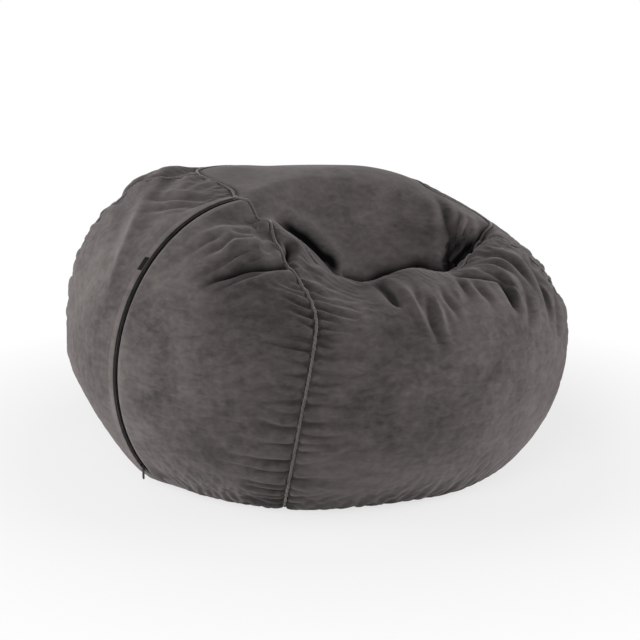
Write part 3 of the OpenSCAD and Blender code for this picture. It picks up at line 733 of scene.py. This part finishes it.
def numbered(rows, columns, roll=False, ring=False):
    """The numbers of a grid's points. In a roll the first column comes again after the last, and in
    a ring the first row does too."""
    at = np.arange(rows * columns).reshape(rows, columns)
    return np.pad(at, ((0, int(ring)), (0, int(roll))), mode="wrap")


def quads(at, flip=False):
    """The faces of a grid, given the numbers of its points."""
    corners = [at[:-1, :-1], at[:-1, 1:], at[1:, 1:], at[1:, :-1]]
    return np.stack(corners[::-1] if flip else corners, -1).reshape(-1, 4)


def piece(name, points, faces, uv=None, **kept):
    """A mesh object at the origin, with a UV map in metres and the numbers kept at each point: the
    distance to its nearest seam, and how much shade is painted there in its creases."""
    mesh = bpy.data.meshes.new(name)
    mesh.from_pydata(points.reshape(-1, 3).tolist(), [], [list(map(int, f)) for f in faces])
    if uv is not None:
        corner = np.empty(len(mesh.loops), np.int32)
        mesh.loops.foreach_get("vertex_index", corner)
        places = uv.reshape(-1, 2)[corner].astype(np.float32)
        mesh.uv_layers.new(name="cloth").data.foreach_set("uv", places.ravel())
    for label, numbers in kept.items():
        layer = mesh.attributes.new(label, "FLOAT", "POINT")
        layer.data.foreach_set("value", numbers.astype(np.float32).ravel())
    mesh.shade_smooth()
    made = bpy.data.objects.new(name, mesh)
    bpy.context.scene.collection.objects.link(made)
    return made


def sheet(name, face, back, uv, **kept):
    """A closed sheet between two grids: both faces, and a strip along each of the four edges."""
    at = numbered(*face.shape[:2])
    faces = [quads(at), quads(at + at.size, flip=True)]
    for edge in (at[0, ::-1], at[:, 0], at[-1], at[::-1, -1]):
        faces.append(np.stack([edge[:-1], edge[1:], edge[1:] + at.size, edge[:-1] + at.size], -1))
    points = np.concatenate([face.reshape(-1, 3), back.reshape(-1, 3)])
    kept = {label: np.tile(numbers.reshape(-1), 2) for label, numbers in kept.items()}
    return piece(name, points, np.concatenate(faces), np.concatenate([uv, uv]), **kept)


def tube(name, path, out, radius, sides=14, ring=False):
    """A round tube along a path: middle + radius (across cos a + out sin a). Its ends are flat."""
    along = np.roll(path, -1, 0) - np.roll(path, 1, 0) if ring else np.gradient(path, axis=0)
    across = np.cross(along, out)
    across /= np.linalg.norm(across, axis=-1, keepdims=True)
    out = np.cross(across, along)
    out /= np.linalg.norm(out, axis=-1, keepdims=True)
    a = np.linspace(0, 2 * math.pi, sides, endpoint=False)[None, :, None]
    points = path[:, None] + radius * (across[:, None] * np.cos(a) + out[:, None] * np.sin(a))
    step = np.linalg.norm(np.diff(path, axis=0), axis=-1)
    length = np.concatenate([[0], np.cumsum(step)])
    uv = np.stack(np.broadcast_arrays(a[..., 0] * radius, length[:, None]), -1)
    at = numbered(len(path), sides, roll=True, ring=ring)
    faces = quads(at.T).tolist()
    if not ring:
        faces += [at[0, :-1].tolist(), at[-1, -2::-1].tolist()]
    return piece(name, points, faces, uv)


# --- Materials ---

class Value:
    """A number on a socket, for use in plain expressions. Each operation adds one Math node."""

    def __init__(self, nodes, socket):
        self.nodes = nodes
        self.socket = socket

    def worked(self, operation, *numbers, clamp=False):
        made = self.nodes.node("ShaderNodeMath", {"operation": operation, "use_clamp": clamp},
                               dict(enumerate(numbers)))
        return Value(self.nodes, made.outputs[0])

    def __add__(self, other):
        return self.worked("ADD", self, other)

    __radd__ = __add__

    def __sub__(self, other):
        return self.worked("SUBTRACT", self, other)

    def __rsub__(self, other):
        return self.worked("SUBTRACT", other, self)

    def __mul__(self, other):
        return self.worked("MULTIPLY", self, other)

    def __pow__(self, other):
        return self.worked("POWER", self, other)

    def most(self, other):
        return self.worked("MAXIMUM", self, other)

    def clamp(self):
        return self.worked("ADD", self, 0.0, clamp=True)

    def sine(self):
        return self.worked("SINE", self)


class Nodes:
    """A tree of nodes. `node` adds one of any type: its type, its settings, and its sockets."""

    def __init__(self, tree):
        self.tree = tree

    def node(self, kind, settings=None, sockets=None):
        made = self.tree.nodes.new(kind)
        for name, value in (settings or {}).items():
            setattr(made, name, value)
        for name, value in (sockets or {}).items():
            self.feed(made.inputs[name], value)
        return made

    def feed(self, socket, value):
        if isinstance(value, Value):
            value = value.socket
        if isinstance(value, bpy.types.NodeSocket):
            self.tree.links.new(value, socket)
        else:
            socket.default_value = value

    def axes(self, vector):
        """The three numbers of a vector."""
        parts = self.node("ShaderNodeSeparateXYZ", None, {0: vector})
        return [Value(self, socket) for socket in parts.outputs]


class Finish(Nodes):
    """A material in the making."""

    def __init__(self, name):
        self.material = bpy.data.materials.new(name)
        self.material.use_nodes = True
        super().__init__(self.material.node_tree)
        self.shader = self.tree.nodes["Principled BSDF"]

    def set(self, **sockets):
        for name, value in sockets.items():
            self.feed(self.shader.inputs[name.replace("_", " ")], value)

    def show(self, shader):
        """Puts another shader out as the material's surface."""
        self.feed(self.tree.nodes["Material Output"].inputs["Surface"], shader.outputs[0])

    def mapped(self, vector, stretch, turn):
        return self.node("ShaderNodeMapping", {"vector_type": "POINT"},
                         {"Vector": vector, "Scale": stretch, "Rotation": turn}).outputs[0]

    def place(self, stretch=(1, 1, 1), turn=(0, 0, 0)):
        """Object coordinates, stretched and turned."""
        return self.mapped(self.node("ShaderNodeTexCoord").outputs["Object"], stretch, turn)

    def uv(self, stretch, turn=0.0):
        """The cloth's own map in metres, stretched and turned."""
        made = self.node("ShaderNodeUVMap", {"uv_map": "cloth"})
        return self.mapped(made.outputs["UV"], stretch, (0, 0, turn))

    def kept(self, label):
        """A number kept at each point of the cloth: the distance to its seam, or the shade painted in its
        creases.
        """
        return Value(self, self.node("ShaderNodeAttribute", {"attribute_name": label}).outputs["Fac"])

    def noise(self, vector, scale, detail=2.0, rough=0.5, warp=0.0):
        made = self.node("ShaderNodeTexNoise", {"noise_dimensions": "3D"},
                         {"Vector": vector, "Scale": scale, "Detail": detail, "Roughness": rough,
                          "Distortion": warp})
        return Value(self, made.outputs["Fac"])

    def mix(self, factor, a, b):
        """One colour over another."""
        made = self.node("ShaderNodeMix", {"data_type": "RGBA", "clamp_factor": True})
        for index, value in ((0, factor), (6, a), (7, b)):
            self.feed(made.inputs[index], value)
        return made.outputs[2]

    def bump(self, height, distance, strength, under=None):
        made = self.node("ShaderNodeBump", None,
                         {"Height": height, "Distance": distance, "Strength": strength})
        if under is not None:
            self.feed(made.inputs["Normal"], under)
        return made.outputs["Normal"]


def colour(r, g, b):
    """A linear colour from the usual 0 to 255 values."""
    shares = [c / 255 for c in (r, g, b)]
    return tuple(c / 12.92 if c < 0.04045 else ((c + 0.055) / 1.055) ** 2.4 for c in shares) + (1.0,)


def brushed_suede(name, dark, pale):
    """Microsuede: a short nap that lies one way or the other in clouds and strokes, lighter where it
    stands towards the light, with fine fibres and a soft sheen. Shade is painted in: darker along the
    seams, and flat near-black without sheen in the creases."""
    f = Finish(name)
    where = f.place()
    clouds = f.noise(where, 5.0, 4.0, 0.6, 0.8)
    strokes = f.noise(f.place((1, 1, 2.6), (0.2, 0.5, 0.3)), 26.0, 4.0, 0.6, 0.8)
    smudges = f.noise(where, 60.0, 3.0, 0.6)
    fibre = f.noise(where, 900.0, 2.0, 0.6)
    nap = (clouds - 0.5) * 2.2 + (strokes - 0.5) * 1.4 + (smudges - 0.5) * 0.7 + (fibre - 0.5) * 0.4
    light = (nap + 0.5).clamp()
    # Painted shade: up to a quarter of the way to dark grey within about 8 mm of a seam.
    seam_shade = (1 - f.kept("seam") * 120).clamp()
    # Painted shade in the creases and folds, as kept on the cloth.
    shade_in_creases = f.kept("crease").clamp()
    cloth = f.mix(light, dark, pale)
    cloth = f.mix(seam_shade * 0.25, cloth, colour(46, 43, 43))
    cloth = f.mix(shade_in_creases, cloth, colour(16, 15, 15))
    f.set(Base_Color=cloth, Roughness=0.92 - light * 0.12, Sheen_Weight=0.34, Sheen_Roughness=0.6,
          Sheen_Tint=colour(205, 198, 197), Specular_IOR_Level=0.05)
    soft = f.bump(strokes * 0.5 + smudges * 0.35, 0.0012, 0.5)
    f.set(Normal=f.bump(fibre, 0.0002, 0.5, soft))
    # Painted shade: in the creases a flat near-black diffuse without sheen is mixed in.
    flat = f.node("ShaderNodeBsdfDiffuse", None, {"Color": colour(16, 15, 15)})
    f.show(f.node("ShaderNodeMixShader", None, {0: shade_in_creases, 1: f.shader.outputs[0], 2: flat.outputs[0]}))
    return f.material


def piping_suede():
    """The same cloth cut on the bias and rolled round a cord: slanting ribs, paler on their crests and in
    clouds.
    """
    f = Finish("piping_suede")
    wave = f.axes(f.uv((900, 900, 1), 0.8))[0].sine() * 0.5 + 0.5
    clouds = f.noise(f.place(), 30.0, 3.0)
    light = (wave * 0.35 + clouds * 0.65).clamp()
    f.set(Base_Color=f.mix(light, colour(56, 52, 52), colour(96, 91, 89)), Roughness=0.8 - light * 0.1,
          Sheen_Weight=0.8, Sheen_Roughness=0.4, Sheen_Tint=colour(200, 195, 195))
    f.set(Normal=f.bump(wave, 0.0003, 0.5))
    return f.material


def tape_weave():
    """Woven zip tape: fine crossing ribs in near-black."""
    f = Finish("tape_weave")
    across, _, up = f.axes(f.place(turn=(0, 0, 0.82)))
    weave = (up * 5200).sine() * (across * 6000).sine() * 0.5 + 0.5
    f.set(Base_Color=f.mix(weave, colour(8, 7, 8), colour(18, 17, 18)), Roughness=0.9,
          Specular_IOR_Level=0.02)
    f.set(Normal=f.bump(weave, 0.0002, 0.6))
    return f.material


def tooth_plastic():
    """Moulded nylon of the zip's teeth."""
    f = Finish("tooth_plastic")
    rub = f.noise(f.place(), 300.0, 2.0)
    f.set(Base_Color=f.mix(rub, colour(12, 11, 12), colour(26, 25, 26)), Roughness=0.5 + rub * 0.15,
          Specular_IOR_Level=0.1)
    f.set(Normal=f.bump(rub, 0.0001, 0.2))
    return f.material


def dark_metal():
    """Black-painted cast metal, brighter where the paint has rubbed."""
    f = Finish("dark_metal")
    rub = ((f.noise(f.place(), 420.0, 3.0, 0.6) - 0.45) * 4).clamp()
    f.set(Base_Color=f.mix(rub, colour(20, 19, 20), colour(60, 58, 59)), Metallic=0.5 + rub * 0.3,
          Roughness=0.42 - rub * 0.1)
    return f.material


def label_satin():
    """A bare folded label in black satin: fine ribs one way."""
    f = Finish("label_satin")
    ribs = f.axes(f.uv((9000, 9000, 1)))[1].sine() * 0.5 + 0.5
    f.set(Base_Color=f.mix(ribs, colour(9, 8, 10), colour(20, 19, 21)), Roughness=0.6,
          Specular_IOR_Level=0.05)
    f.set(Normal=f.bump(ribs, 0.0001, 0.4))
    return f.material


def liner_weave():
    """Thin off-white polyester of the inner bag, in a plain weave."""
    f = Finish("liner_weave")
    fine = f.noise(f.place(), 500.0, 2.0)
    clouds = f.noise(f.place(), 12.0, 2.0)
    f.set(Base_Color=f.mix(clouds, colour(205, 202, 196), colour(222, 219, 213)), Roughness=0.75)
    f.set(Normal=f.bump(fine, 0.0003, 0.4))
    return f.material


def polystyrene_beads():
    """White beads of 3 to 4 mm packed together, with shade painted grey towards the gaps between them."""
    f = Finish("polystyrene_beads")
    cells = f.node("ShaderNodeTexVoronoi", {"voronoi_dimensions": "3D", "feature": "F1"},
                   {"Vector": f.place(), "Scale": 280.0})
    near = Value(f, cells.outputs["Distance"])
    # Painted shade: grey towards the edges of each bead's cell.
    f.set(Base_Color=f.mix((near * 1.2).clamp(), colour(245, 243, 240), colour(190, 188, 184)),
          Roughness=0.6)
    f.set(Normal=f.bump(1 - near, 0.002, 0.8))
    return f.material


# --- Camera, lamps and floor ---

# The camera's and the lamps' aims, and the floor: half its width, and how far it lies below the bag.
CAMERA_AIM = (0.0073, 0, 0.322)
CAMERA_AWAY = 3.8
CAMERA_RISE = 15
LENS = 87.4
SENSOR = 36
LAMP_AIM = (0, 0, 0.3)
FLOOR_HALF = 9.0
FLOOR_DROP = 0.0005


def camera():
    """Straight at the front, CAMERA_RISE degrees up, and CAMERA_AWAY from what it looks at."""
    data = bpy.data.cameras.new("camera")
    data.lens = LENS
    data.sensor_width = SENSOR
    made = bpy.data.objects.new("camera", data)
    rise = math.radians(CAMERA_RISE)
    away, above = CAMERA_AWAY * math.cos(rise), CAMERA_AWAY * math.sin(rise)
    made.location = (CAMERA_AIM[0], -away, CAMERA_AIM[2] + above)
    made.rotation_euler = (math.pi / 2 - rise, 0, 0)
    bpy.context.scene.collection.objects.link(made)
    bpy.context.scene.camera = made


def lamp(name, at, size, watts):
    """A square soft lamp that looks at LAMP_AIM."""
    data = bpy.data.lights.new(name, "AREA")
    data.shape = "SQUARE"
    data.size = size
    data.energy = watts
    made = bpy.data.objects.new(name, data)
    way = np.array(LAMP_AIM, float) - np.array(at, float)
    tilt = math.acos(-way[2] / np.linalg.norm(way))
    made.location = at
    made.rotation_euler = (tilt, 0, math.atan2(way[1], way[0]) - math.pi / 2)
    bpy.context.scene.collection.objects.link(made)


def white_world():
    """Full white to the camera and in reflections, and dim white as a lamp."""
    world = bpy.data.worlds.new("room")
    world.use_nodes = True
    bpy.context.scene.world = world
    w = Nodes(world.node_tree)
    path = w.node("ShaderNodeLightPath")
    seen = Value(w, path.outputs["Is Camera Ray"]).most(path.outputs["Is Glossy Ray"])
    level = w.node("ShaderNodeMapRange", None, {"Value": seen, "To Min": 0.16, "To Max": 1.0})
    shader = w.tree.nodes["Background"]
    w.feed(shader.inputs["Strength"], level.outputs[0])
    w.feed(shader.inputs["Color"], (1, 1, 1, 1))


def white_floor():
    """A white floor that keeps the bag's shadow, and fades into the white world from 0.7 m out on."""
    f = Finish("white_floor")
    path = f.node("ShaderNodeLightPath")
    seen = Value(f, path.outputs["Is Camera Ray"])
    seen = seen.most(path.outputs["Is Glossy Ray"]).most(path.outputs["Is Transmission Ray"])
    x, y, _ = f.axes(f.place())
    far = (((x * x + y * y) ** 0.5 - 0.7) * 1.6).clamp()
    plain = f.node("ShaderNodeBsdfDiffuse", None, {"Color": (0.85, 0.85, 0.85, 1)})
    glow = f.node("ShaderNodeEmission", None, {"Color": (1, 1, 1, 1), "Strength": 1.0})
    f.show(f.node("ShaderNodeMixShader", None,
                  {0: seen * (0.72 + far * 0.28), 1: plain.outputs[0], 2: glow.outputs[0]}))
    half = FLOOR_HALF
    corners = np.array([(-half, -half, 0), (half, -half, 0), (half, half, 0), (-half, half, 0)])
    floor = piece("floor", corners - (0, 0, FLOOR_DROP), [[0, 1, 2, 3]])
    floor.data.materials.append(f.material)


# --- The pieces ---

def dress(made, material, node):
    """Gives a piece its material, hides the solid that it stands for, and gives it the bag to ride on."""
    made.data.materials.append(material)
    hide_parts(node)
    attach(made, "bag")


def edge_distance(grid):
    """Length from each node to the nearest edge of its grid."""
    round_it = along_row(grid)
    up = along_row(grid.transpose(1, 0, 2)).T
    return np.minimum(np.minimum(round_it, round_it[:, -1:] - round_it), np.minimum(up, up[-1:] - up))


# How deep the stitches draw the cloth in along a seam, how far from it, and how high above the floor
# they do so wholly.
SEAM_DIP = 0.003
SEAM_DIP_W = 0.007
SEAM_DIP_RISE = 0.05

# Half the height of the ripples along the edge of the bottom panel.
BASE_RIPPLE = 0.0012


def cover_panel(name, grid, crease, material):
    """One cut panel: the cloth's face, drawn in along its edges by the stitches, and its back."""
    seam = edge_distance(grid)
    n = normals(grid)
    dip = SEAM_DIP * smooth(grid[..., 2] / SEAM_DIP_RISE)
    face = grid - n * (dip * np.exp(-(seam / SEAM_DIP_W) ** 2))[..., None]
    face[..., 2] = np.maximum(face[..., 2], 0)
    back = face - n * COVER_T
    back[..., 2] = np.maximum(back[..., 2], np.where(n[..., 2] < 0, COVER_T * -n[..., 2], -1))
    uv = np.stack([along_row(grid), along_row(grid.transpose(1, 0, 2)).T], -1).reshape(-1, 2)
    # The shade painted into the folds is kept on the cloth for its material.
    made = sheet(name + "_cloth", face, back, uv, seam=seam, crease=crease)
    dress(made, material, name)


def side_panels(side, painted_shades, material):
    """The five side panels, each its own columns of the side's grid."""
    names = ("zip_left", "zip_right", "front_right", "back_right", "back_left")
    for name, start, columns in zip(names, STARTS, COLUMNS):
        cut = slice(start, start + columns)
        cover_panel("panel_" + name, side[:, cut], painted_shades[:, cut], material)


def seam_middle(side, column):
    """The line halfway between the two cloth edges at a seam, and the way out of the cloth there."""
    n = normals(side)
    a, b = side[:, column - 1], side[:, column]
    out = n[:, column - 1] + n[:, column]
    return (a + b) / 2, out / np.linalg.norm(out, axis=-1, keepdims=True)


def piping_path(line, out):
    """The cord's middle: under the cloth's face by its radius less what stands proud, and flush with
    the cloth where the bag rests on the floor."""
    proud = PIPING_PROUD * smooth((line[:, 2] - PIPING_FROM) / PIPING_RISE)
    path = line - out * (PIPING_R - proud)[:, None]
    path[:, 2] = np.maximum(path[:, 2], PIPING_R)
    return path


def pipings(side, top, material):
    """A cord in each piped side seam, and one round the top and the bottom panel."""
    cords = {"left": LEFT, "front": FRONT, "right": RIGHT, "back": BACK}
    for name, seam in cords.items():
        around = side[:, :-1] if STARTS[seam] else np.roll(side[:, :-1], 1, 1)
        line, out = seam_middle(around, max(STARTS[seam], 1))
        line, out = np.vstack([line, 2 * line[-1] - line[-2]]), np.vstack([out, out[-1]])
        made = tube("piping_" + name + "_cord", piping_path(line, out), out, PIPING_R)
        dress(made, material, "piping_" + name)
    i, j = rim_nodes()
    line = (side[-1, :-1] + top[i, j]) / 2
    out = normals(side)[-1, :-1] + normals(top)[i, j]
    out /= np.linalg.norm(out, axis=-1, keepdims=True)
    made = tube("piping_top_ring_cord", piping_path(line, out), out, PIPING_R, ring=True)
    dress(made, material, "piping_top_ring")
    a = np.linspace(0, 2 * math.pi, AROUND // 2, endpoint=False)
    line = np.stack([BASE_D / 2 * np.sin(a), -BASE_D / 2 * np.cos(a), PIPING_R + 0 * a], -1)
    made = tube("piping_bottom_ring_cord", line, 0 * line - (0, 0, 1), PIPING_R, ring=True)
    dress(made, material, "piping_bottom_ring")


def even_azimuths():
    """Even azimuths round the bag, one for each node, from the left seam on."""
    start = SEAMS_AT[LEFT]
    return np.linspace(start, start + 360, AROUND, endpoint=False) * math.pi / 180


def base_panel(material):
    """The round bottom panel: flat on the floor, with shallow ripples drawn up along its seam as
    (1 - cos(48 a + 6 sin 3 a)) times the nearness of the edge."""
    a, s = top_grid(even_azimuths(), 0)
    share = (TOP_S - s) / (TOP_S - cap_s(a))
    r = share * (BASE_D / 2 - RING_HALF)
    lift = BASE_RIPPLE * smooth((share - 0.8) / 0.2) * (1 - np.cos(48 * a + 6 * np.sin(3 * a)))
    up = np.stack([r * np.sin(a), -r * np.cos(a), COVER_T + lift], -1)[::2, ::2]
    uv = up[..., :2].reshape(-1, 2)
    made = sheet("bottom_cap_cloth", up, up - (0, 0, COVER_T), uv, seam=edge_distance(up),
                 crease=0 * up[..., 0])
    dress(made, material, "bottom_cap")


def along_zip(g, up, across):
    """A point beside the zip: the flank's own circle at angle g, `up` above its face, and `across` to
    the zip's left."""
    out = np.array([ZIP_SIN, -ZIP_COS, 0])
    left = np.array([-ZIP_COS, -ZIP_SIN, 0])
    g, up, across = np.broadcast_arrays(g, up, across)
    return ((CROWN_R + (FLANK_R + up) * np.cos(g))[..., None] * out
            + across[..., None] * left
            + (MID_Z + (FLANK_R + up) * np.sin(g))[..., None] * np.array([0, 0, 1.0]))


def strip(name, angles, low, high, near, far, wave=0.0, sides=20):
    """A flat soft strip beside the zip, from `low` to `high` over the face and from `near` to `far`
    beside it. Its section is a rounded rectangle: the cosine to the power 0.35 and the sine to the
    power 0.6, times half the width and half the thickness. `wave` is how far it wanders sideways."""
    k = np.linspace(0, 2 * math.pi, sides, endpoint=False)
    wide = np.sign(np.cos(k)) * np.abs(np.cos(k)) ** 0.35
    tall = np.sign(np.sin(k)) * np.abs(np.sin(k)) ** 0.6
    g = np.radians(angles)[:, None]
    ripple = wave * np.sin(g * 90) * np.sin(g * 37 + 1)
    across = (near + far) / 2 + (far - near) / 2 * wide + ripple
    points = along_zip(g, (low + high) / 2 + (high - low) / 2 * tall, across)
    at = numbered(len(angles), sides, roll=True)
    faces = quads(at).tolist() + [at[0, -2::-1].tolist(), at[-1, :-1].tolist()]
    uv = np.stack([across, FLANK_R * g + 0 * across], -1)
    seam = (far - near) / 2 - np.abs(across - (near + far) / 2)
    return piece(name, points, faces, uv, seam=np.maximum(seam, 0), crease=0 * seam)


def zip_pieces(cloth):
    """The strip and the label beside the zip, and the materials of the zip's own solids."""
    top = PLACKET_LIFT + PLACKET_T
    # The strip takes the paler copy of the suede, which is painted light.
    made = strip("zip_placket_cloth", np.linspace(-ZIP_FOOT, ZIP_HIGH, 260), PLACKET_LIFT, top,
                 PLACKET_NEAR, PLACKET_NEAR + PLACKET_W, wave=0.0004)
    dress(made, cloth, "zip_placket")
    half = math.degrees(LABEL_L / FLANK_R / 2)
    lift = top + LABEL_LIFT
    near = PLACKET_NEAR + LABEL_INSET
    made = strip("seam_label_cloth", np.linspace(LABEL_AT - half, LABEL_AT + half, 24),
                 lift, lift + LABEL_T, near, near + LABEL_W)
    dress(made, label_satin(), "seam_label")
    finishes = {
        tape_weave(): ["zip_tape_left", "zip_tape_right"],
        tooth_plastic(): ["zip_teeth_left", "zip_teeth_right"],
        dark_metal(): ["zip_top_stop", "zip_bottom_stop", "zip_slider", "zip_pull"],
    }
    for material, names in finishes.items():
        for name in names:
            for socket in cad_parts[name].material_slots:
                socket.material = material


# --- The inner bag and the beads ---

# Cells up and round the map of how far the cloth has sunk in.
SINK_ROWS = 60
SINK_COLUMNS = 72

# The liner: points up and across a gore, half the gap between gores, the distance from the bag's
# axis at which they are laid out, and every how many nodes its round ends have points.
GORE_ROWS = 40
GORE_COLUMNS = 41
GORE_GAP = 0.0003
GORE_OUT = 0.4
LINER_END_EVERY = 5

# The rings of the bead filling, the points on each, and how far the first and the last ring lie from
# the middle.
BEAD_RINGS = 90
BEAD_COLUMNS = 144
BEAD_ENDS = 0.01, 0.004


def about(cells):
    """The nine cells about each cell of the map. It runs on round the bag, and stops at both ends."""
    tall = np.pad(cells, ((1, 1), (0, 0)), mode="edge")
    return [np.roll(tall[k:k + SINK_ROWS], m, 1) for k in range(3) for m in (-1, 0, 1)]


def sinking(settled, base, places):
    """How far the folded cloth lies inside the base form, by length and azimuth: the deepest node
    of each cell, then the deepest of the cells about it, then smoothed."""
    sunk = np.zeros((SINK_ROWS, SINK_COLUMNS))
    for now, form, (azimuth, s) in zip(settled, base, places):
        inside = np.einsum("ijk,ijk->ij", form - now, normals(form))
        row = np.minimum((s / TOP_S * SINK_ROWS).astype(int), SINK_ROWS - 1)
        column = (np.degrees(azimuth) % 360 / 360 * SINK_COLUMNS).astype(int) % SINK_COLUMNS
        np.maximum.at(sunk, (row.ravel(), column.ravel()), inside.ravel())
    for _ in range(3):
        sunk = np.max(about(sunk), 0)
    for _ in range(2):
        sunk = np.mean(about(sunk), 0)
    sunk[-4:] = sunk[-4:].max()
    return sunk


def under_cloth(azimuth, s, deep, sunk):
    """Points of the inner bag: the base form, less the way out of it times their depth and the
    sinking there, which is read between the four nearest cells."""
    p = bag_surface(azimuth, s)
    row = np.clip(s / TOP_S * SINK_ROWS - 0.5, 0, SINK_ROWS - 1.001)
    column = np.degrees(azimuth) % 360 / 360 * SINK_COLUMNS - 0.5
    i, j = np.floor(row).astype(int), np.floor(column).astype(int)
    f, g = row - i, column - j
    j, j2 = j % SINK_COLUMNS, (j + 1) % SINK_COLUMNS
    here = ((sunk[i, j] * (1 - g) + sunk[i, j2] * g) * (1 - f)
            + (sunk[i + 1, j] * (1 - g) + sunk[i + 1, j2] * g) * f)
    p = p - normals(p) * (deep + here)[..., None]
    p[..., 2] = np.maximum(p[..., 2], deep)
    return p


def liner_sheets(a, s, sunk):
    """The liner's two faces at these azimuths and lengths."""
    return [under_cloth(a, s, deep, sunk) for deep in (LINER_DEPTH, LINER_DEPTH + LINER_T)]


def liner_piece(name, face, back, uv, cloth):
    """One sewn piece of the liner, filled out by the beads."""
    made = sheet(name + "_cloth", face, back, uv.reshape(-1, 2))
    dress(made, cloth, name)


def inner_bag(sunk):
    """The liner: four gores, each a quarter of the way round, and its two round ends."""
    cloth = liner_weave()
    half = 45 - math.degrees(GORE_GAP / GORE_OUT)
    t = np.linspace(0, 1, GORE_ROWS)[:, None]
    for name, middle in (("front", 0), ("right", 90), ("back", 180), ("left", 270)):
        a = np.radians(np.linspace(middle - half, middle + half, GORE_COLUMNS))[None] + 0 * t
        s = BASE_D / 2 + GORE_GAP + (cap_s(a) - BASE_D / 2 - 2 * GORE_GAP) * t
        uv = np.stack([a * GORE_OUT, s], -1)
        liner_piece("liner_gore_" + name, *liner_sheets(a, s, sunk), uv, cloth)
    a, s = (g[::LINER_END_EVERY, ::LINER_END_EVERY] for g in top_grid(even_azimuths(), GORE_GAP))
    face, back = liner_sheets(a, s, sunk)
    liner_piece("liner_top", face, back, face[..., :2], cloth)
    r = (TOP_S - s) / (TOP_S - cap_s(a)) * (BASE_D / 2 - GORE_GAP)
    face = np.stack([r * np.sin(a), -r * np.cos(a), LINER_DEPTH + LINER_T + 0 * r], -1)
    liner_piece("liner_bottom", face, face - (0, 0, LINER_T), face[..., :2], cloth)


def beads(sunk):
    """The bead filling: rings of the form's lengths, closed by a point at the bottom and the top."""
    s = np.linspace(BEAD_ENDS[0], TOP_S - BEAD_ENDS[1], BEAD_RINGS)[:, None]
    a = np.linspace(0, 2 * math.pi, BEAD_COLUMNS, endpoint=False)[None]
    s, a = np.broadcast_arrays(s, a)
    rings = under_cloth(a, s, FILL_DEPTH, sunk)
    ends = np.array([rings[0].mean(0), rings[-1].mean(0)])
    at = numbered(BEAD_RINGS, BEAD_COLUMNS, roll=True)
    low = BEAD_RINGS * BEAD_COLUMNS
    faces = quads(at).tolist()
    for k in range(BEAD_COLUMNS):
        faces += [[at[0, k + 1], at[0, k], low], [at[-1, k], at[-1, k + 1], low + 1]]
    made = piece("bead_filling_beads", np.concatenate([rings.reshape(-1, 3), ends]), faces)
    dress(made, polystyrene_beads(), "bead_filling")


# --- Everything together ---

bpy.context.scene.view_settings.view_transform = "Standard"
camera()
lamp("front", (-0.9, -3.7, 2.4), 1.8, 66)
lamp("left", (-3.1, -0.5, 0.9), 2.0, 84)
lamp("right", (3.1, -0.5, 0.9), 2.0, 74)
white_world()
white_floor()

# The cover comes back with the shade painted into its folds.
side_cloth, top_cloth, base_forms, cloth_places, crease_marks = sewn_cover()
suede = brushed_suede("brushed_suede", colour(55, 51, 51), colour(93, 87, 86))
# A paler copy of the same suede for the raised strip beside the zip: painted light, where the strip catches
# the light.
suede_painted_lit = brushed_suede("brushed_suede_strip_painted_lit", colour(76, 71, 71), colour(108, 101, 100))
rolled_suede = piping_suede()
side_panels(side_cloth, crease_marks[0], suede)
cover_panel("top_cap", top_cloth, crease_marks[1], suede)
base_panel(suede)
pipings(side_cloth, top_cloth, rolled_suede)
zip_pieces(suede_painted_lit)
sunk_map = sinking((side_cloth, top_cloth), base_forms, cloth_places)
inner_bag(sunk_map)
beads(sunk_map)
